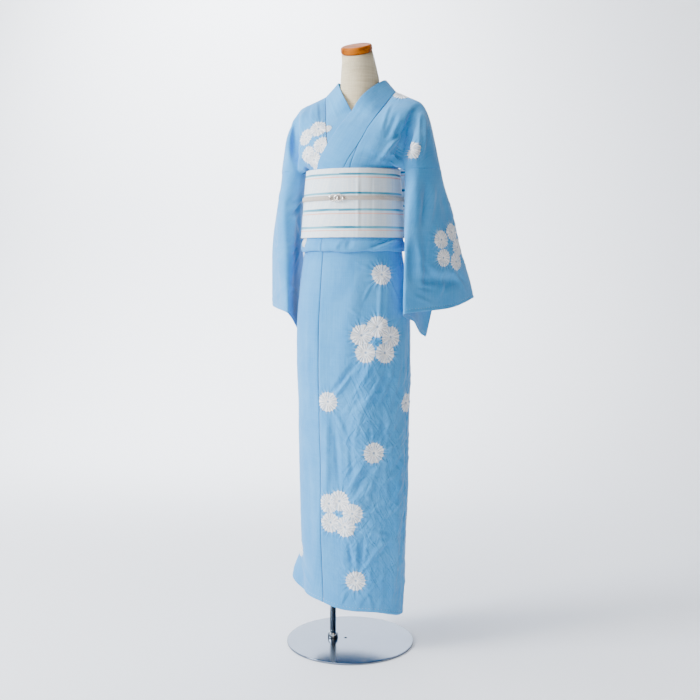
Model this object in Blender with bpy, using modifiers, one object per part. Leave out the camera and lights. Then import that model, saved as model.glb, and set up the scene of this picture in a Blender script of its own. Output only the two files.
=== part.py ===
"""Cotton yukata robe, worn on a limbless dress form that stands on a disc.

Metres, +Z up. The origin is the centre of the disc on the floor, the front faces -Y and
the wearer's left is +X. Angles round the body start at the front and turn towards +X.
"""
import math
from collections import namedtuple

import bpy
from mathutils import Vector

for old in list(bpy.data.objects):
    bpy.data.objects.remove(old, do_unlink=True)

# Driving sizes
CENTRE_X = 0.008
WALL = 0.0012
BELT_WALL = 0.0020
SEAM_GAP = 0.0003
LAYER_GAP = 0.0018
LAYER = WALL + LAYER_GAP

BASE_RADIUS = 0.1625
BASE_HEIGHT = 0.005
POLE_X = -0.045
POLE_Y = -0.005
POLE_RADIUS = 0.008
FORM_BOTTOM = 0.76
NECK_TOP = 1.490
NECK_TILT = 22

BELT_BOTTOM = 1.033
BELT_TOP = 1.197
CORD_Z = 1.1265
CORD_WIDTH = 0.011
CORD_WALL = 0.003
UPPER_BOTTOM = 1.066
SKIRT_TOP = 1.12
ARMHOLE_Z = 1.200
UNDERARM_LIFT = 0.0005

# Materials: name, colour, roughness, metallic
Finish = namedtuple("Finish", "colour roughness metallic")
FINISHES = {
    "cotton": Finish((0.40, 0.58, 0.76), 0.85, 0.0),
    "belt_cloth": Finish((0.80, 0.86, 0.88), 0.75, 0.0),
    "cord_braid": Finish((0.62, 0.60, 0.56), 0.80, 0.0),
    "ornament_metal": Finish((0.82, 0.82, 0.80), 0.30, 1.0),
    "linen": Finish((0.55, 0.51, 0.42), 0.90, 0.0),
    "varnished_wood": Finish((0.42, 0.20, 0.07), 0.40, 0.0),
    "chrome": Finish((0.70, 0.72, 0.74), 0.12, 1.0),
    "brushed_steel": Finish((0.45, 0.48, 0.52), 0.38, 1.0),
}

# Outer turn of the belt: half width and half depth at each height
BeltLevel = namedtuple("BeltLevel", "z half_width half_depth")
BELT = [
    BeltLevel(1.033, 0.1335, 0.1050),
    BeltLevel(1.115, 0.1260, 0.1015),
    BeltLevel(1.197, 0.1185, 0.0985),
]

# Skirt: outer half width and half depth at each height
SkirtLevel = namedtuple("SkirtLevel", "z half_width half_depth")
SKIRT = [
    SkirtLevel(0.070, 0.1300, 0.0960),
    SkirtLevel(0.241, 0.1360, 0.0980),
    SkirtLevel(0.366, 0.1395, 0.1000),
    SkirtLevel(0.490, 0.1420, 0.1020),
    SkirtLevel(0.613, 0.1430, 0.1040),
    SkirtLevel(0.735, 0.1470, 0.1050),
    SkirtLevel(0.820, 0.1455, 0.1045),
    SkirtLevel(0.900, 0.1400, 0.1030),
    SkirtLevel(0.965, 0.1310, 0.0995),
    SkirtLevel(1.000, 0.1250, 0.0958),
    SkirtLevel(1.033, 0.1236, 0.0951),
    SkirtLevel(1.120, 0.1149, 0.0906),
]

# Height of the hem round the wrap, in degrees from the front; the lapped end is last
HemPoint = namedtuple("HemPoint", "angle z")
HEM = [
    HemPoint(-92, 0.161),
    HemPoint(-66, 0.137),
    HemPoint(-28, 0.128),
    HemPoint(7, 0.115),
    HemPoint(36, 0.111),
    HemPoint(86, 0.089),
    HemPoint(180, 0.082),
    HemPoint(240, 0.084),
    HemPoint(255, 0.104),
    HemPoint(268, 0.138),
    HemPoint(300, 0.150),
    HemPoint(332, 0.136),
    HemPoint(381, 0.130),
    HemPoint(452, 0.152),
]

# Panels of the skirt as one wrapped sheet: start and end angle, and columns of the mesh
Panel = namedtuple("Panel", "name start end columns")
PANELS = [
    Panel("gore_left", -92, -21, 11),
    Panel("front_left", -21, 86, 19),
    Panel("back_left", 86, 180, 14),
    Panel("back_right", 180, 274, 14),
    Panel("front_right", 274, 381, 9),
    Panel("gore_right", 381, 452, 6),
]
TUCKED = PANELS[:4]

# Largest soft folds: where each starts, how far it turns on its way down, its width and depth
Fold = namedtuple("Fold", "angle top bottom drift width depth")
FOLDS = [
    Fold(58, 0.98, 0.50, -46, 9, 0.0046),
    Fold(20, 0.95, 0.62, -26, 8, 0.0034),
    Fold(-30, 0.90, 0.44, 20, 9, 0.0036),
    Fold(34, 0.66, 0.20, -30, 8, 0.0040),
    Fold(-8, 0.52, 0.14, -26, 8, 0.0034),
    Fold(72, 0.56, 0.12, -10, 8, 0.0046),
    Fold(122, 0.96, 0.30, 12, 10, 0.0052),
    Fold(160, 0.92, 0.24, -8, 9, 0.0046),
    Fold(205, 0.94, 0.34, 12, 10, 0.0048),
    Fold(240, 0.90, 0.22, -8, 9, 0.0044),
]

# How far the lapped corner of the hem turns outwards
CORNER_FLARE = 0.034

# Section of the tuck fold, standing off the skirt: down outside, round, up inside
TuckPoint = namedtuple("TuckPoint", "z proud")
TUCK = [
    TuckPoint(1.0450, 0.0010),
    TuckPoint(1.0120, 0.0016),
    TuckPoint(1.0020, 0.0032),
    TuckPoint(0.9990, 0.0054),
    TuckPoint(1.0020, 0.0076),
    TuckPoint(1.0110, 0.0088),
    TuckPoint(1.0220, 0.0078),
    TuckPoint(1.0310, 0.0044),
    TuckPoint(1.0620, 0.0044),
]

# Chest of the robe above the belt: half width, front and back at the centre line, mid depth
ChestLevel = namedtuple("ChestLevel", "z half_width front back middle")
CHEST = [
    ChestLevel(1.0330, 0.1283, -0.0998, 0.0998, 0.000),
    ChestLevel(1.1150, 0.1208, -0.0963, 0.0963, 0.000),
    ChestLevel(1.1900, 0.1137, -0.0933, 0.0933, 0.000),
    ChestLevel(1.2030, 0.1135, -0.0933, 0.0933, 0.000),
    ChestLevel(1.2120, 0.1270, -0.0945, 0.0980, 0.000),
    ChestLevel(1.2240, 0.1370, -0.0925, 0.1030, 0.004),
    ChestLevel(1.2500, 0.1480, -0.0810, 0.1090, 0.012),
    ChestLevel(1.3000, 0.1620, -0.0500, 0.1180, 0.030),
    ChestLevel(1.3460, 0.1750, -0.0100, 0.1300, 0.050),
    ChestLevel(1.4300, 0.1750, 0.0500, 0.1450, 0.070),
]

# Neck: seam that joins the collar to the panels, and the collar's free edge,
# from under the belt up the front, over the shoulder to the middle of the back
NeckStation = namedtuple("NeckStation", "seam_x seam_y seam_z edge_x edge_y edge_z")
NECK = [
    NeckStation(-0.0350, -0.0900, 1.110, -0.0950, -0.0550, 1.137),
    NeckStation(0.0120, -0.1000, 1.203, -0.0520, -0.0780, 1.232),
    NeckStation(0.0400, -0.0790, 1.255, -0.0274, -0.0450, 1.286),
    NeckStation(0.0560, -0.0430, 1.300, -0.0077, -0.0190, 1.329),
    NeckStation(0.0733, 0.0020, 1.345, 0.0250, -0.0040, 1.381),
    NeckStation(0.0917, 0.0550, 1.393, 0.0600, 0.0560, 1.425),
    NeckStation(0.0800, 0.1000, 1.386, 0.0560, 0.1050, 1.420),
    NeckStation(0.0440, 0.1260, 1.370, 0.0340, 0.1350, 1.408),
    NeckStation(0.0000, 0.1340, 1.360, 0.0000, 0.1460, 1.400),
]
APEX = 2.0
# The chest slopes back at the neck, so a layer moves further along Y to lie as deep
UNDER_SHIFT = 2.0
NECK_BACK = 8.0

# Rows of the collar along the neck: closer where the cloth swells over the belt
COLLAR_ROWS = [0, 0.3, 0.6, 0.68, 0.75, 0.83, 0.89, 0.95, 1.02, 1.1, 1.2, 1.35, 1.55, 1.75]
COLLAR_ROWS += [2 + i / 3 for i in range(12)] + [6, 6.5, 7, 7.5, NECK_BACK]

# Seam between the front panel and its gore
SeamPoint = namedtuple("SeamPoint", "z x")
GORE_SEAM = [
    SeamPoint(1.033, -0.0450),
    SeamPoint(1.130, 0.0010),
    SeamPoint(1.203, 0.0266),
    SeamPoint(1.255, 0.0410),
]

# Upper body panel from the gore's tip over the shoulder to the middle of the back: chest,
# side of the chest, valley beside the arm and crest of the sleeve cap; the edge is the armhole
Spot = namedtuple("Spot", "x y z")
Drape = namedtuple("Drape", "chest side valley crest")
DRAPE = [
    Drape(Spot(0.082, -0.0760, 1.238), Spot(0.120, -0.0510, 1.228),
          Spot(0.134, -0.0300, 1.217), Spot(0.1370, -0.0200, 1.208)),
    Drape(Spot(0.092, -0.0460, 1.292), Spot(0.134, -0.0300, 1.270),
          Spot(0.135, 0.0000, 1.255), Spot(0.1580, -0.0260, 1.240)),
    Drape(Spot(0.104, -0.0140, 1.338), Spot(0.140, -0.0080, 1.330),
          Spot(0.148, 0.0080, 1.322), Spot(0.1760, 0.0020, 1.302)),
    Drape(Spot(0.120, 0.0530, 1.381), Spot(0.146, 0.0510, 1.370),
          Spot(0.164, 0.0500, 1.357), Spot(0.1820, 0.0510, 1.318)),
    Drape(Spot(0.110, 0.0980, 1.366), Spot(0.136, 0.0920, 1.352),
          Spot(0.156, 0.0870, 1.335), Spot(0.1770, 0.0840, 1.288)),
    Drape(Spot(0.086, 0.1200, 1.328), Spot(0.118, 0.1060, 1.300),
          Spot(0.137, 0.0840, 1.272), Spot(0.1540, 0.0800, 1.238)),
    Drape(Spot(0.066, 0.1160, 1.272), Spot(0.102, 0.0930, 1.244),
          Spot(0.122, 0.0680, 1.226), Spot(0.1310, 0.0500, 1.214)),
]

# Sleeve sections, from the armhole down: inner front, front fold, front, top fold,
# outer back and inner back corner, as x off the centre line and y
SleeveLevel = namedtuple("SleeveLevel", "z inner fold front top back tip")
SLEEVE = [
    SleeveLevel(1.200, (0.137, -0.012), (0.168, -0.022), (0.196, 0.008),
                (0.2096, 0.054), (0.184, 0.086), (0.144, 0.046)),
    SleeveLevel(1.100, (0.144, -0.004), (0.163, -0.054), (0.208, 0.002),
                (0.2330, 0.075), (0.208, 0.102), (0.166, 0.074)),
    SleeveLevel(1.000, (0.149, 0.002), (0.157, -0.061), (0.225, 0.014),
                (0.2540, 0.094), (0.222, 0.118), (0.168, 0.081)),
    SleeveLevel(0.900, (0.153, 0.006), (0.155, -0.062), (0.234, 0.032),
                (0.2740, 0.134), (0.230, 0.138), (0.168, 0.084)),
    SleeveLevel(0.780, (0.156, 0.010), (0.153, -0.060), (0.238, 0.046),
                (0.2860, 0.170), (0.234, 0.156), (0.167, 0.084)),
]
# Bottom edge of each sleeve, by place round the section: 0 is the inner front corner
HangPoint = namedtuple("HangPoint", "place z")
SLEEVE_BOTTOM_LEFT = [
    HangPoint(0, 0.828),
    HangPoint(1, 0.850),
    HangPoint(2, 0.860),
    HangPoint(3, 0.884),
    HangPoint(4, 0.874),
    HangPoint(4.75, 0.866),
    HangPoint(5, 0.788),
    HangPoint(6, 0.828),
]
SLEEVE_BOTTOM_RIGHT = [
    HangPoint(0, 0.802),
    HangPoint(1, 0.848),
    HangPoint(2, 0.860),
    HangPoint(3, 0.884),
    HangPoint(4, 0.872),
    HangPoint(5, 0.780),
    HangPoint(6, 0.802),
]

# Torso form: half width, front and back at each height, and the neck's radius where it
# rises out of the shoulders
FormLevel = namedtuple("FormLevel", "z half_width front back neck")
FORM = [
    FormLevel(0.7600, 0.0900, -0.0560, 0.0560, 0.000),
    FormLevel(0.7680, 0.1120, -0.0760, 0.0760, 0.000),
    FormLevel(0.8000, 0.1220, -0.0850, 0.0850, 0.000),
    FormLevel(0.9000, 0.1200, -0.0850, 0.0850, 0.000),
    FormLevel(1.0000, 0.1090, -0.0810, 0.0820, 0.000),
    FormLevel(1.0800, 0.0990, -0.0770, 0.0790, 0.000),
    FormLevel(1.1500, 0.0990, -0.0770, 0.0790, 0.000),
    FormLevel(1.2100, 0.1050, -0.0740, 0.0830, 0.000),
    FormLevel(1.2600, 0.1140, -0.0530, 0.0900, 0.000),
    FormLevel(1.3000, 0.1260, -0.0230, 0.0960, 0.000),
    FormLevel(1.3300, 0.1350, -0.0060, 0.0980, 0.040),
    FormLevel(1.3500, 0.1375, 0.0120, 0.0940, 0.049),
    FormLevel(1.3640, 0.1340, 0.0240, 0.0860, 0.050),
    FormLevel(1.3796, 0.1190, 0.0400, 0.0700, 0.050),
    FormLevel(1.3881, 0.0980, 0.0460, 0.0640, 0.050),
    FormLevel(1.3960, 0.0700, 0.0480, 0.0600, 0.050),
    FormLevel(1.4120, 0.0485, 0.0040, 0.0990, 0.000),
    FormLevel(1.4300, 0.0485, 0.0035, 0.0985, 0.000),
    FormLevel(1.4760, 0.0405, -0.0030, 0.0770, 0.000),
    FormLevel(NECK_TOP, 0.0385, -0.0090, 0.0670, 0.000),
]
NECK_BLEND = 8


def smooth(low, high, value):
    """Eased step from 0 at low to 1 at high."""
    t = min(1.0, max(0.0, (value - low) / (high - low)))
    return t * t * (3 - 2 * t)


def read(table, at, column):
    """Value of a column at a place in a table, on a curve that doesn't overshoot its rows."""
    places = [row[0] for row in table]
    values = [getattr(row, column) for row in table]
    if at <= places[0]:
        return values[0]
    if at >= places[-1]:
        return values[-1]
    steps = [places[i + 1] - places[i] for i in range(len(places) - 1)]
    rises = [(values[i + 1] - values[i]) / steps[i] for i in range(len(steps))]
    slopes = [rises[0]]
    for before, after in zip(rises, rises[1:]):
        same_way = before * after > 0
        slopes.append(2 * before * after / (before + after) if same_way else 0.0)
    slopes.append(rises[-1])
    i = max(k for k in range(len(steps)) if places[k] <= at)
    t = (at - places[i]) / steps[i]
    near = (1 + 2 * t) * (1 - t) ** 2 * values[i] + t * (1 - t) ** 2 * steps[i] * slopes[i]
    far = t * t * (3 - 2 * t) * values[i + 1] - t * t * (1 - t) * steps[i] * slopes[i + 1]
    return near + far


def along(points, t, closed=False):
    """Point at index t on a smooth curve through the points."""
    count = len(points)
    i = int(math.floor(t))
    if not closed:
        i = min(max(i, 0), count - 2)
    f = t - i

    def at(k):
        return points[k % count] if closed else points[min(max(k, 0), count - 1)]

    before, start, end, after = at(i - 1), at(i), at(i + 1), at(i + 2)
    return 0.5 * ((2 * start) + (end - before) * f
                  + (2 * before - 5 * start + 4 * end - after) * f * f
                  + (3 * start - before - 3 * end + after) * f ** 3)


def material(name):
    made = bpy.data.materials.get(name)
    if made is None:
        finish = FINISHES[name]
        made = bpy.data.materials.new(name)
        made.use_nodes = True
        shader = made.node_tree.nodes["Principled BSDF"]
        shader.inputs["Base Color"].default_value = (*finish.colour, 1.0)
        shader.inputs["Roughness"].default_value = finish.roughness
        shader.inputs["Metallic"].default_value = finish.metallic
    return made


parts = bpy.data.collections.new("yukata_on_dress_form")
bpy.context.scene.collection.children.link(parts)


def add(name, mesh, finish):
    piece = bpy.data.objects.new(name, mesh)
    mesh.materials.append(material(finish))
    parts.objects.link(piece)
    return piece


def adopt(piece, name, finish):
    """Name and file an object that an operator has just made."""
    piece.name = name
    piece.data.materials.append(material(finish))
    for holder in list(piece.users_collection):
        holder.objects.unlink(piece)
    parts.objects.link(piece)
    piece.data.shade_smooth()
    return piece


def shell(name, rows, wall, finish, closed=False):
    """Sheet through rows of points, with its wall on the inner side."""
    width = len(rows[0])
    verts = [point for row in rows for point in row]
    faces = []
    for i in range(len(rows) - 1):
        for j in range(width if closed else width - 1):
            k = (j + 1) % width
            faces.append((i * width + j, i * width + k, (i + 1) * width + k, (i + 1) * width + j))
    mesh = bpy.data.meshes.new(name)
    mesh.from_pydata(verts, [], faces)
    mesh.shade_smooth()
    piece = add(name, mesh, finish)
    skin = piece.modifiers.new("wall", "SOLIDIFY")
    skin.thickness = wall
    skin.offset = -1
    skin.use_rim = True
    return piece


def ellipse(angle, half_width, half_depth, z):
    turn = math.radians(angle)
    return Vector((CENTRE_X + half_width * math.sin(turn), -half_depth * math.cos(turn), z))


def mirrored(rows):
    """The same rows on the wearer's right, turned to face outwards again."""
    flipped = []
    for row in rows:
        flipped.append([Vector((2 * CENTRE_X - p.x, p.y, p.z)) for p in reversed(row)])
    return flipped


# Stand: disc, socket, screw and pole
def stand():
    bpy.ops.mesh.primitive_cylinder_add(vertices=56, radius=BASE_RADIUS, depth=BASE_HEIGHT,
                                        location=(0, 0, BASE_HEIGHT / 2))
    disc = adopt(bpy.context.object, "base_disc", "brushed_steel")
    edge = disc.modifiers.new("edge", "BEVEL")
    edge.width = 0.001
    socket_height = 0.014
    bpy.ops.mesh.primitive_cone_add(vertices=24, radius1=0.0135, radius2=0.0115,
                                    depth=socket_height, location=(
                                        POLE_X, POLE_Y,
                                        BASE_HEIGHT + SEAM_GAP + socket_height / 2))
    adopt(bpy.context.object, "base_socket", "chrome")
    screw_height = 0.0016
    bpy.ops.mesh.primitive_cylinder_add(vertices=20, radius=0.004, depth=screw_height, location=(
        -0.0136, 0.0035, BASE_HEIGHT + SEAM_GAP + screw_height / 2))
    adopt(bpy.context.object, "base_screw", "chrome")
    pole_bottom = BASE_HEIGHT + socket_height + 2 * SEAM_GAP
    pole_top = FORM_BOTTOM - SEAM_GAP
    bpy.ops.mesh.primitive_cylinder_add(vertices=24, radius=POLE_RADIUS,
                                        depth=pole_top - pole_bottom, location=(
                                            POLE_X, POLE_Y, (pole_top + pole_bottom) / 2))
    adopt(bpy.context.object, "pole", "chrome")


# Torso form: a smooth loft that narrows into the neck
def torso_form(columns=28):
    rows = []
    for level in FORM:
        middle = (level.front + level.back) / 2
        depth = (level.back - level.front) / 2
        row = []
        for j in range(columns):
            turn = 2 * math.pi * j / columns
            side, ahead = math.sin(turn), -math.cos(turn)
            reach = 1 / math.hypot(side / level.half_width, ahead / depth)
            reach = (reach ** NECK_BLEND + level.neck ** NECK_BLEND) ** (1 / NECK_BLEND)
            rise = math.tan(math.radians(NECK_TILT)) * smooth(1.41, NECK_TOP, level.z)
            row.append(Vector((CENTRE_X + reach * side, middle + reach * ahead,
                               level.z + reach * ahead * rise)))
        rows.append(row)
    verts = [point for row in rows for point in row]
    faces = []
    for i in range(len(rows) - 1):
        for j in range(columns):
            k = (j + 1) % columns
            faces.append((i * columns + j, i * columns + k,
                          (i + 1) * columns + k, (i + 1) * columns + j))
    faces.append(tuple(reversed(range(columns))))
    faces.append(tuple(range((len(rows) - 1) * columns, len(rows) * columns)))
    mesh = bpy.data.meshes.new("torso_form")
    mesh.from_pydata(verts, [], faces)
    mesh.shade_smooth()
    add("torso_form", mesh, "linen")


# Neck cap: a turned wooden disc with a rounded rim, tilted forward
def neck_cap():
    radius = 0.0395
    height = 0.018
    rim = 0.006
    tilt = math.radians(NECK_TILT)
    profile = [(0.0, height)]
    for step in range(5):
        turn = math.pi / 2 * (1 - step / 4)
        profile.append((radius - rim + rim * math.cos(turn), height - rim + rim * math.sin(turn)))
    for step in range(1, 5):
        turn = -math.pi / 2 * step / 4
        profile.append((radius - rim + rim * math.cos(turn), rim + rim * math.sin(turn)))
    profile.append((0.0, 0.0))
    mesh = bpy.data.meshes.new("neck_cap")
    mesh.from_pydata([(x, 0, z) for x, z in profile], [],
                     [(i, i + 1) for i in range(len(profile) - 1)])
    cap = add("neck_cap", mesh, "varnished_wood")
    turned = cap.modifiers.new("turned", "SCREW")
    turned.steps = 28
    turned.render_steps = 28
    turned.use_merge_vertices = True
    turned.merge_threshold = 0.0001
    turned.use_normal_calculate = True
    seat = Vector((0, -math.sin(tilt), math.cos(tilt))) * 2 * SEAM_GAP
    cap.location = Vector((CENTRE_X, (FORM[-1].front + FORM[-1].back) / 2, NECK_TOP)) + seat
    cap.rotation_euler = (tilt, 0, 0)


# Skirt: one sheet wrapped left over right, in six panels
def layer_drop(angle):
    """The wrapped sheet passes under its own start on the wearer's right."""
    return LAYER * smooth(200, 260, angle)


def fold_depth(angle, z):
    """Height of the soft folds, which fade where the sheet passes under its own start."""
    total = 0.0
    shown = 1 - smooth(250, 268, angle)
    for fold in FOLDS:
        run = (fold.top - z) / (fold.top - fold.bottom)
        fade = smooth(-0.08, 0.25, run) * (1 - smooth(0.75, 1.08, run))
        apart = (angle - fold.angle - fold.drift * run + 180) % 360 - 180
        total += fold.depth * fade * math.exp(-(apart / fold.width) ** 2)
    return total * shown


def skirt_point(angle, z, proud=0.0):
    out = fold_depth(angle, z) - layer_drop(angle) + proud
    out += CORNER_FLARE * smooth(-62, -92, angle) * smooth(0.26, 0.155, z)
    half_width = read(SKIRT, z, "half_width") + out
    half_depth = read(SKIRT, z, "half_depth") + out
    return ellipse(angle, half_width, half_depth, z)


def panel_angles(panel):
    """Column angles of a panel, drawn in by half a seam gap at each side."""
    inset = math.degrees((SEAM_GAP + 0.0003) / 2 / 0.1)
    first = panel.start + inset
    last = panel.end - inset
    return [first + (last - first) * j / panel.columns for j in range(panel.columns + 1)]


def skirt(row_count=9):
    upper = (0.950, 0.975, 1.000, 1.035, SKIRT_TOP)
    for panel in PANELS:
        rows = []
        for i in range(row_count):
            row = []
            for angle in panel_angles(panel):
                hem = read(HEM, angle, "z")
                row.append(skirt_point(angle, hem + (upper[0] - hem) * i / row_count))
            rows.append(row)
        for z in upper:
            rows.append([skirt_point(angle, z) for angle in panel_angles(panel)])
        shell("skirt_" + panel.name, rows, WALL, "cotton")


# Tuck fold below the belt
def tuck():
    for panel in TUCKED:
        last = min(panel.end, PANELS[0].start + 360 - 0.5)
        stretch = Panel(panel.name, panel.start, last, panel.columns // 2 + 1)
        rows = []
        for point in TUCK:
            row = [skirt_point(angle, point.z, point.proud) for angle in panel_angles(stretch)]
            rows.append(row)
        shell("tuck_" + panel.name, rows, WALL, "cotton")


# Robe above the belt
def chest_point(x, z, under=0.0, back=False):
    """Point on the chest at x off the centre line; under is how far below the outer layer."""
    half = read(CHEST, z, "half_width")
    middle = read(CHEST, z, "middle")
    face = read(CHEST, z, "back" if back else "front")
    share = max(-0.99999, min(0.99999, x / half))
    depth = math.sqrt(1 - share * share)
    reach = abs(face - middle) - under
    return Vector((CENTRE_X + share * (half - under),
                   middle + (reach if back else -reach) * depth, z))


def neck_points(side):
    if side == "seam":
        return [Vector((CENTRE_X + s.seam_x, s.seam_y, s.seam_z)) for s in NECK]
    return [Vector((CENTRE_X + s.edge_x, s.edge_y, s.edge_z)) for s in NECK]


def neck_line(side, t, under):
    """Point t along the collar's seam or free edge, laid on the chest in front."""
    point = along(neck_points(side), t)
    laid = chest_point(point.x - CENTRE_X, point.z, under)
    point = point + Vector((0, UNDER_SHIFT * under, 0))
    lifted = smooth(1.30, 1.37, point.z)
    return laid.lerp(point, lifted)


def under_at(t, under):
    """Depth below the outer layer, fading out where the two sides part at the neck."""
    return under * (1 - smooth(3.6, 4.8, t))


def collar_side(under, columns):
    rows = []
    for t in COLLAR_ROWS:
        depth = under_at(t, under)
        seam = neck_line("seam", t, depth)
        edge = neck_line("edge", t, depth)
        row = []
        for j in range(columns + 1):
            point = edge.lerp(seam, j / columns)
            laid = chest_point(point.x - CENTRE_X, point.z, depth)
            row.append(laid.lerp(point, max(smooth(1.30, 1.37, point.z), smooth(3.0, 3.8, t))))
        rows.append(row)
    return rows


def collar(columns=4):
    """One band round the neck: left side over, right side under."""
    left = collar_side(0.0, columns)
    right = [list(reversed(row)) for row in mirrored(collar_side(LAYER, columns))]
    shell("collar", left + list(reversed(right[:-1])), WALL, "cotton")


def inset_from(point, towards, gap):
    return point + (towards - point).normalized() * gap


def gore(name, under, mirror, columns=3):
    """Front gore above the tuck: between the collar's seam and the front panel."""
    rows = []
    gap = SEAM_GAP + 0.0003
    for t in [row for row in COLLAR_ROWS if row < APEX - 0.2]:
        start = neck_line("seam", t, under)
        z = start.z
        first = start.x - CENTRE_X + gap
        last = read(GORE_SEAM, z, "x") - gap
        rows.append([chest_point(first + (last - first) * j / columns, z, under)
                     for j in range(columns + 1)])
    shell(name, mirrored(rows) if mirror else rows, WALL, "cotton")


def armhole(t):
    """Point t round the top section of the sleeve, which the armhole seam follows."""
    ring = [Vector((CENTRE_X + p[0], p[1], ARMHOLE_Z)) for p in SLEEVE[0][1:]]
    return along(ring, t, closed=True)


def wing_edge(t):
    """Edge of the body panel: on the armhole, and lifted where it runs out under the arm."""
    turn = t if t < 5 else 5 + 0.6 * (t - 5)
    lift = 1 - smooth(0.0, 0.8, t) + smooth(4.2, 5.0, t)
    return armhole(turn) + Vector((0, 0, UNDERARM_LIFT * lift))


def waist_row(z, under, back, columns):
    """Row of the body panel under the belt and just over it, from the middle to the side."""
    inner = SEAM_GAP if back else read(GORE_SEAM, z, "x") + SEAM_GAP
    half = read(CHEST, z, "half_width")
    start = math.asin(inner / half)
    end = math.radians(89.3)
    row = []
    for j in range(columns + 1):
        turn = start + (end - start) * j / columns
        row.append(chest_point(half * math.sin(turn), z, under, back))
    return row


def spots(name):
    return [Vector((CENTRE_X + getattr(row, name).x, getattr(row, name).y, getattr(row, name).z))
            for row in DRAPE]


def between(low, high, share, under, back):
    """Row between two rows, laid on the chest near the middle and cut on the gore's seam."""
    row = []
    first = low[0].lerp(high[0], share)
    seam_x = CENTRE_X + read(GORE_SEAM, first.z, "x") + SEAM_GAP
    shift = 0.0 if back else seam_x - first.x
    for j, (start, end) in enumerate(zip(low, high)):
        point = start.lerp(end, share)
        point.x += shift * (1 - j / (len(low) - 1)) ** 2
        laid = chest_point(point.x - CENTRE_X, point.z, under, back)
        row.append(laid.lerp(point, smooth(0.35, 0.7, j / (len(low) - 1))))
    return row


def body_rows(under, columns=12, steps=3):
    """Front, shoulder and back in one: under the belt, up, over the armhole and down."""
    heights = (UPPER_BOTTOM, 1.130, 1.188, 1.202, 1.208)
    front = [waist_row(z, under, False, columns) for z in heights]
    back = [waist_row(z, 0.0, True, columns) for z in reversed(heights)]
    lines = [spots(name) for name in Drape._fields]
    drape = []
    for i in range((len(DRAPE) - 1) * steps + 1):
        t = i / steps
        seam = neck_line("seam", APEX + t, under_at(APEX + t, under))
        inner = [along(line, t) for line in lines]
        if t < 2:
            inner[0] = inner[0] + Vector((0, under * (1 - t / 2), 0))
        line = [inset_from(seam, inner[0], SEAM_GAP + 0.0003)] + inner + [wing_edge(t)]
        drape.append([along(line, 5 * j / columns) for j in range(columns + 1)])
    rise = [between(front[-1], drape[0], share, under, False) for share in (0.3, 0.65)]
    fall = [between(drape[-1], back[0], share, 0.0, True) for share in (0.35, 0.7)]
    return front + rise + drape + fall + back


def sleeve_rows(bottoms, steps=4, row_count=9):
    """Tube through the sleeve's sections, from its bottom edge to the armhole."""
    rings = {}
    for level in SLEEVE:
        rings[level.z] = [Vector((CENTRE_X + p[0], p[1], level.z)) for p in level[1:]]
    heights = [level.z for level in SLEEVE]
    rows = []
    for i in range(row_count + 1):
        row = []
        for j in range(6 * steps):
            t = j / steps
            top = ARMHOLE_Z - SEAM_GAP - 0.0003
            bottom = read(bottoms, t, "z")
            z = bottom + (top - bottom) * i / row_count
            k = max(m for m in range(len(heights) - 1) if heights[m] >= z)
            column = [along(rings[h], t, closed=True) for h in heights]
            share = k + (heights[k] - z) / (heights[k] - heights[k + 1])
            point = along(column, share)
            row.append(Vector((point.x, point.y, z)))
        rows.append(row)
    return rows


# Belt set
def belt_ring(z, proud, columns=48):
    half_width = read(BELT, z, "half_width") + proud
    half_depth = read(BELT, z, "half_depth") + proud
    return [ellipse(360 * j / columns, half_width, half_depth, z) for j in range(columns)]


def belt():
    heights = [BELT_BOTTOM + (BELT_TOP - BELT_BOTTOM) * i / 2 for i in range(3)]
    shell("belt_outer", [belt_ring(z, 0.0) for z in heights], BELT_WALL, "belt_cloth", closed=True)
    inner = [belt_ring(z, -BELT_WALL - 0.0004) for z in heights]
    for j, point in enumerate(inner[-1]):
        angle = 360 * j / len(inner[-1])
        point.z += 0.0022 * smooth(30, 80, angle) * (1 - smooth(110, 150, angle))
    shell("belt_inner", inner, BELT_WALL, "belt_cloth", closed=True)


KNOT_CARD_WIDTH = 0.22
KNOT_CARD_WALL = 0.006
KNOT_STRAP_WIDTH = 0.09
KNOT_STRAP_WALL = 0.0025
CARD_LOW = 1.050
CARD_HIGH = 1.210
CARD_BOW = 0.9


def card_y(x):
    """Outer face of the folded card, bowed a little round the back."""
    back = read(BELT, CARD_LOW, "half_depth")
    return back + SEAM_GAP + KNOT_CARD_WALL + 0.0004 - CARD_BOW * x * x


def knot():
    rows = []
    for z in (CARD_LOW, CARD_HIGH):
        row = []
        for j in range(9):
            x = KNOT_CARD_WIDTH * (0.5 - j / 8)
            row.append(Vector((CENTRE_X + x, card_y(x), z)))
        rows.append(row)
    card = shell("knot_card", rows, KNOT_CARD_WALL, "belt_cloth")
    edge = card.modifiers.new("edge", "BEVEL")
    edge.width = 0.002
    edge.segments = 2
    edge.angle_limit = math.radians(50)
    out = SEAM_GAP + KNOT_STRAP_WALL
    tuck_in = 0.004
    path = [(-tuck_in, CARD_LOW - out), (out * 0.5, CARD_LOW - out), (out, CARD_LOW + 0.001),
            (out, (CARD_LOW + CARD_HIGH) / 2), (out, CARD_HIGH - 0.001),
            (out * 0.5, CARD_HIGH + out), (-tuck_in, CARD_HIGH + out)]
    rows = []
    for off, z in path:
        row = []
        for j in range(7):
            x = KNOT_STRAP_WIDTH * (0.5 - j / 6)
            row.append(Vector((CENTRE_X + x, card_y(x) + off, z)))
        rows.append(row)
    shell("knot_strap", rows, KNOT_STRAP_WALL, "belt_cloth")


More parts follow.
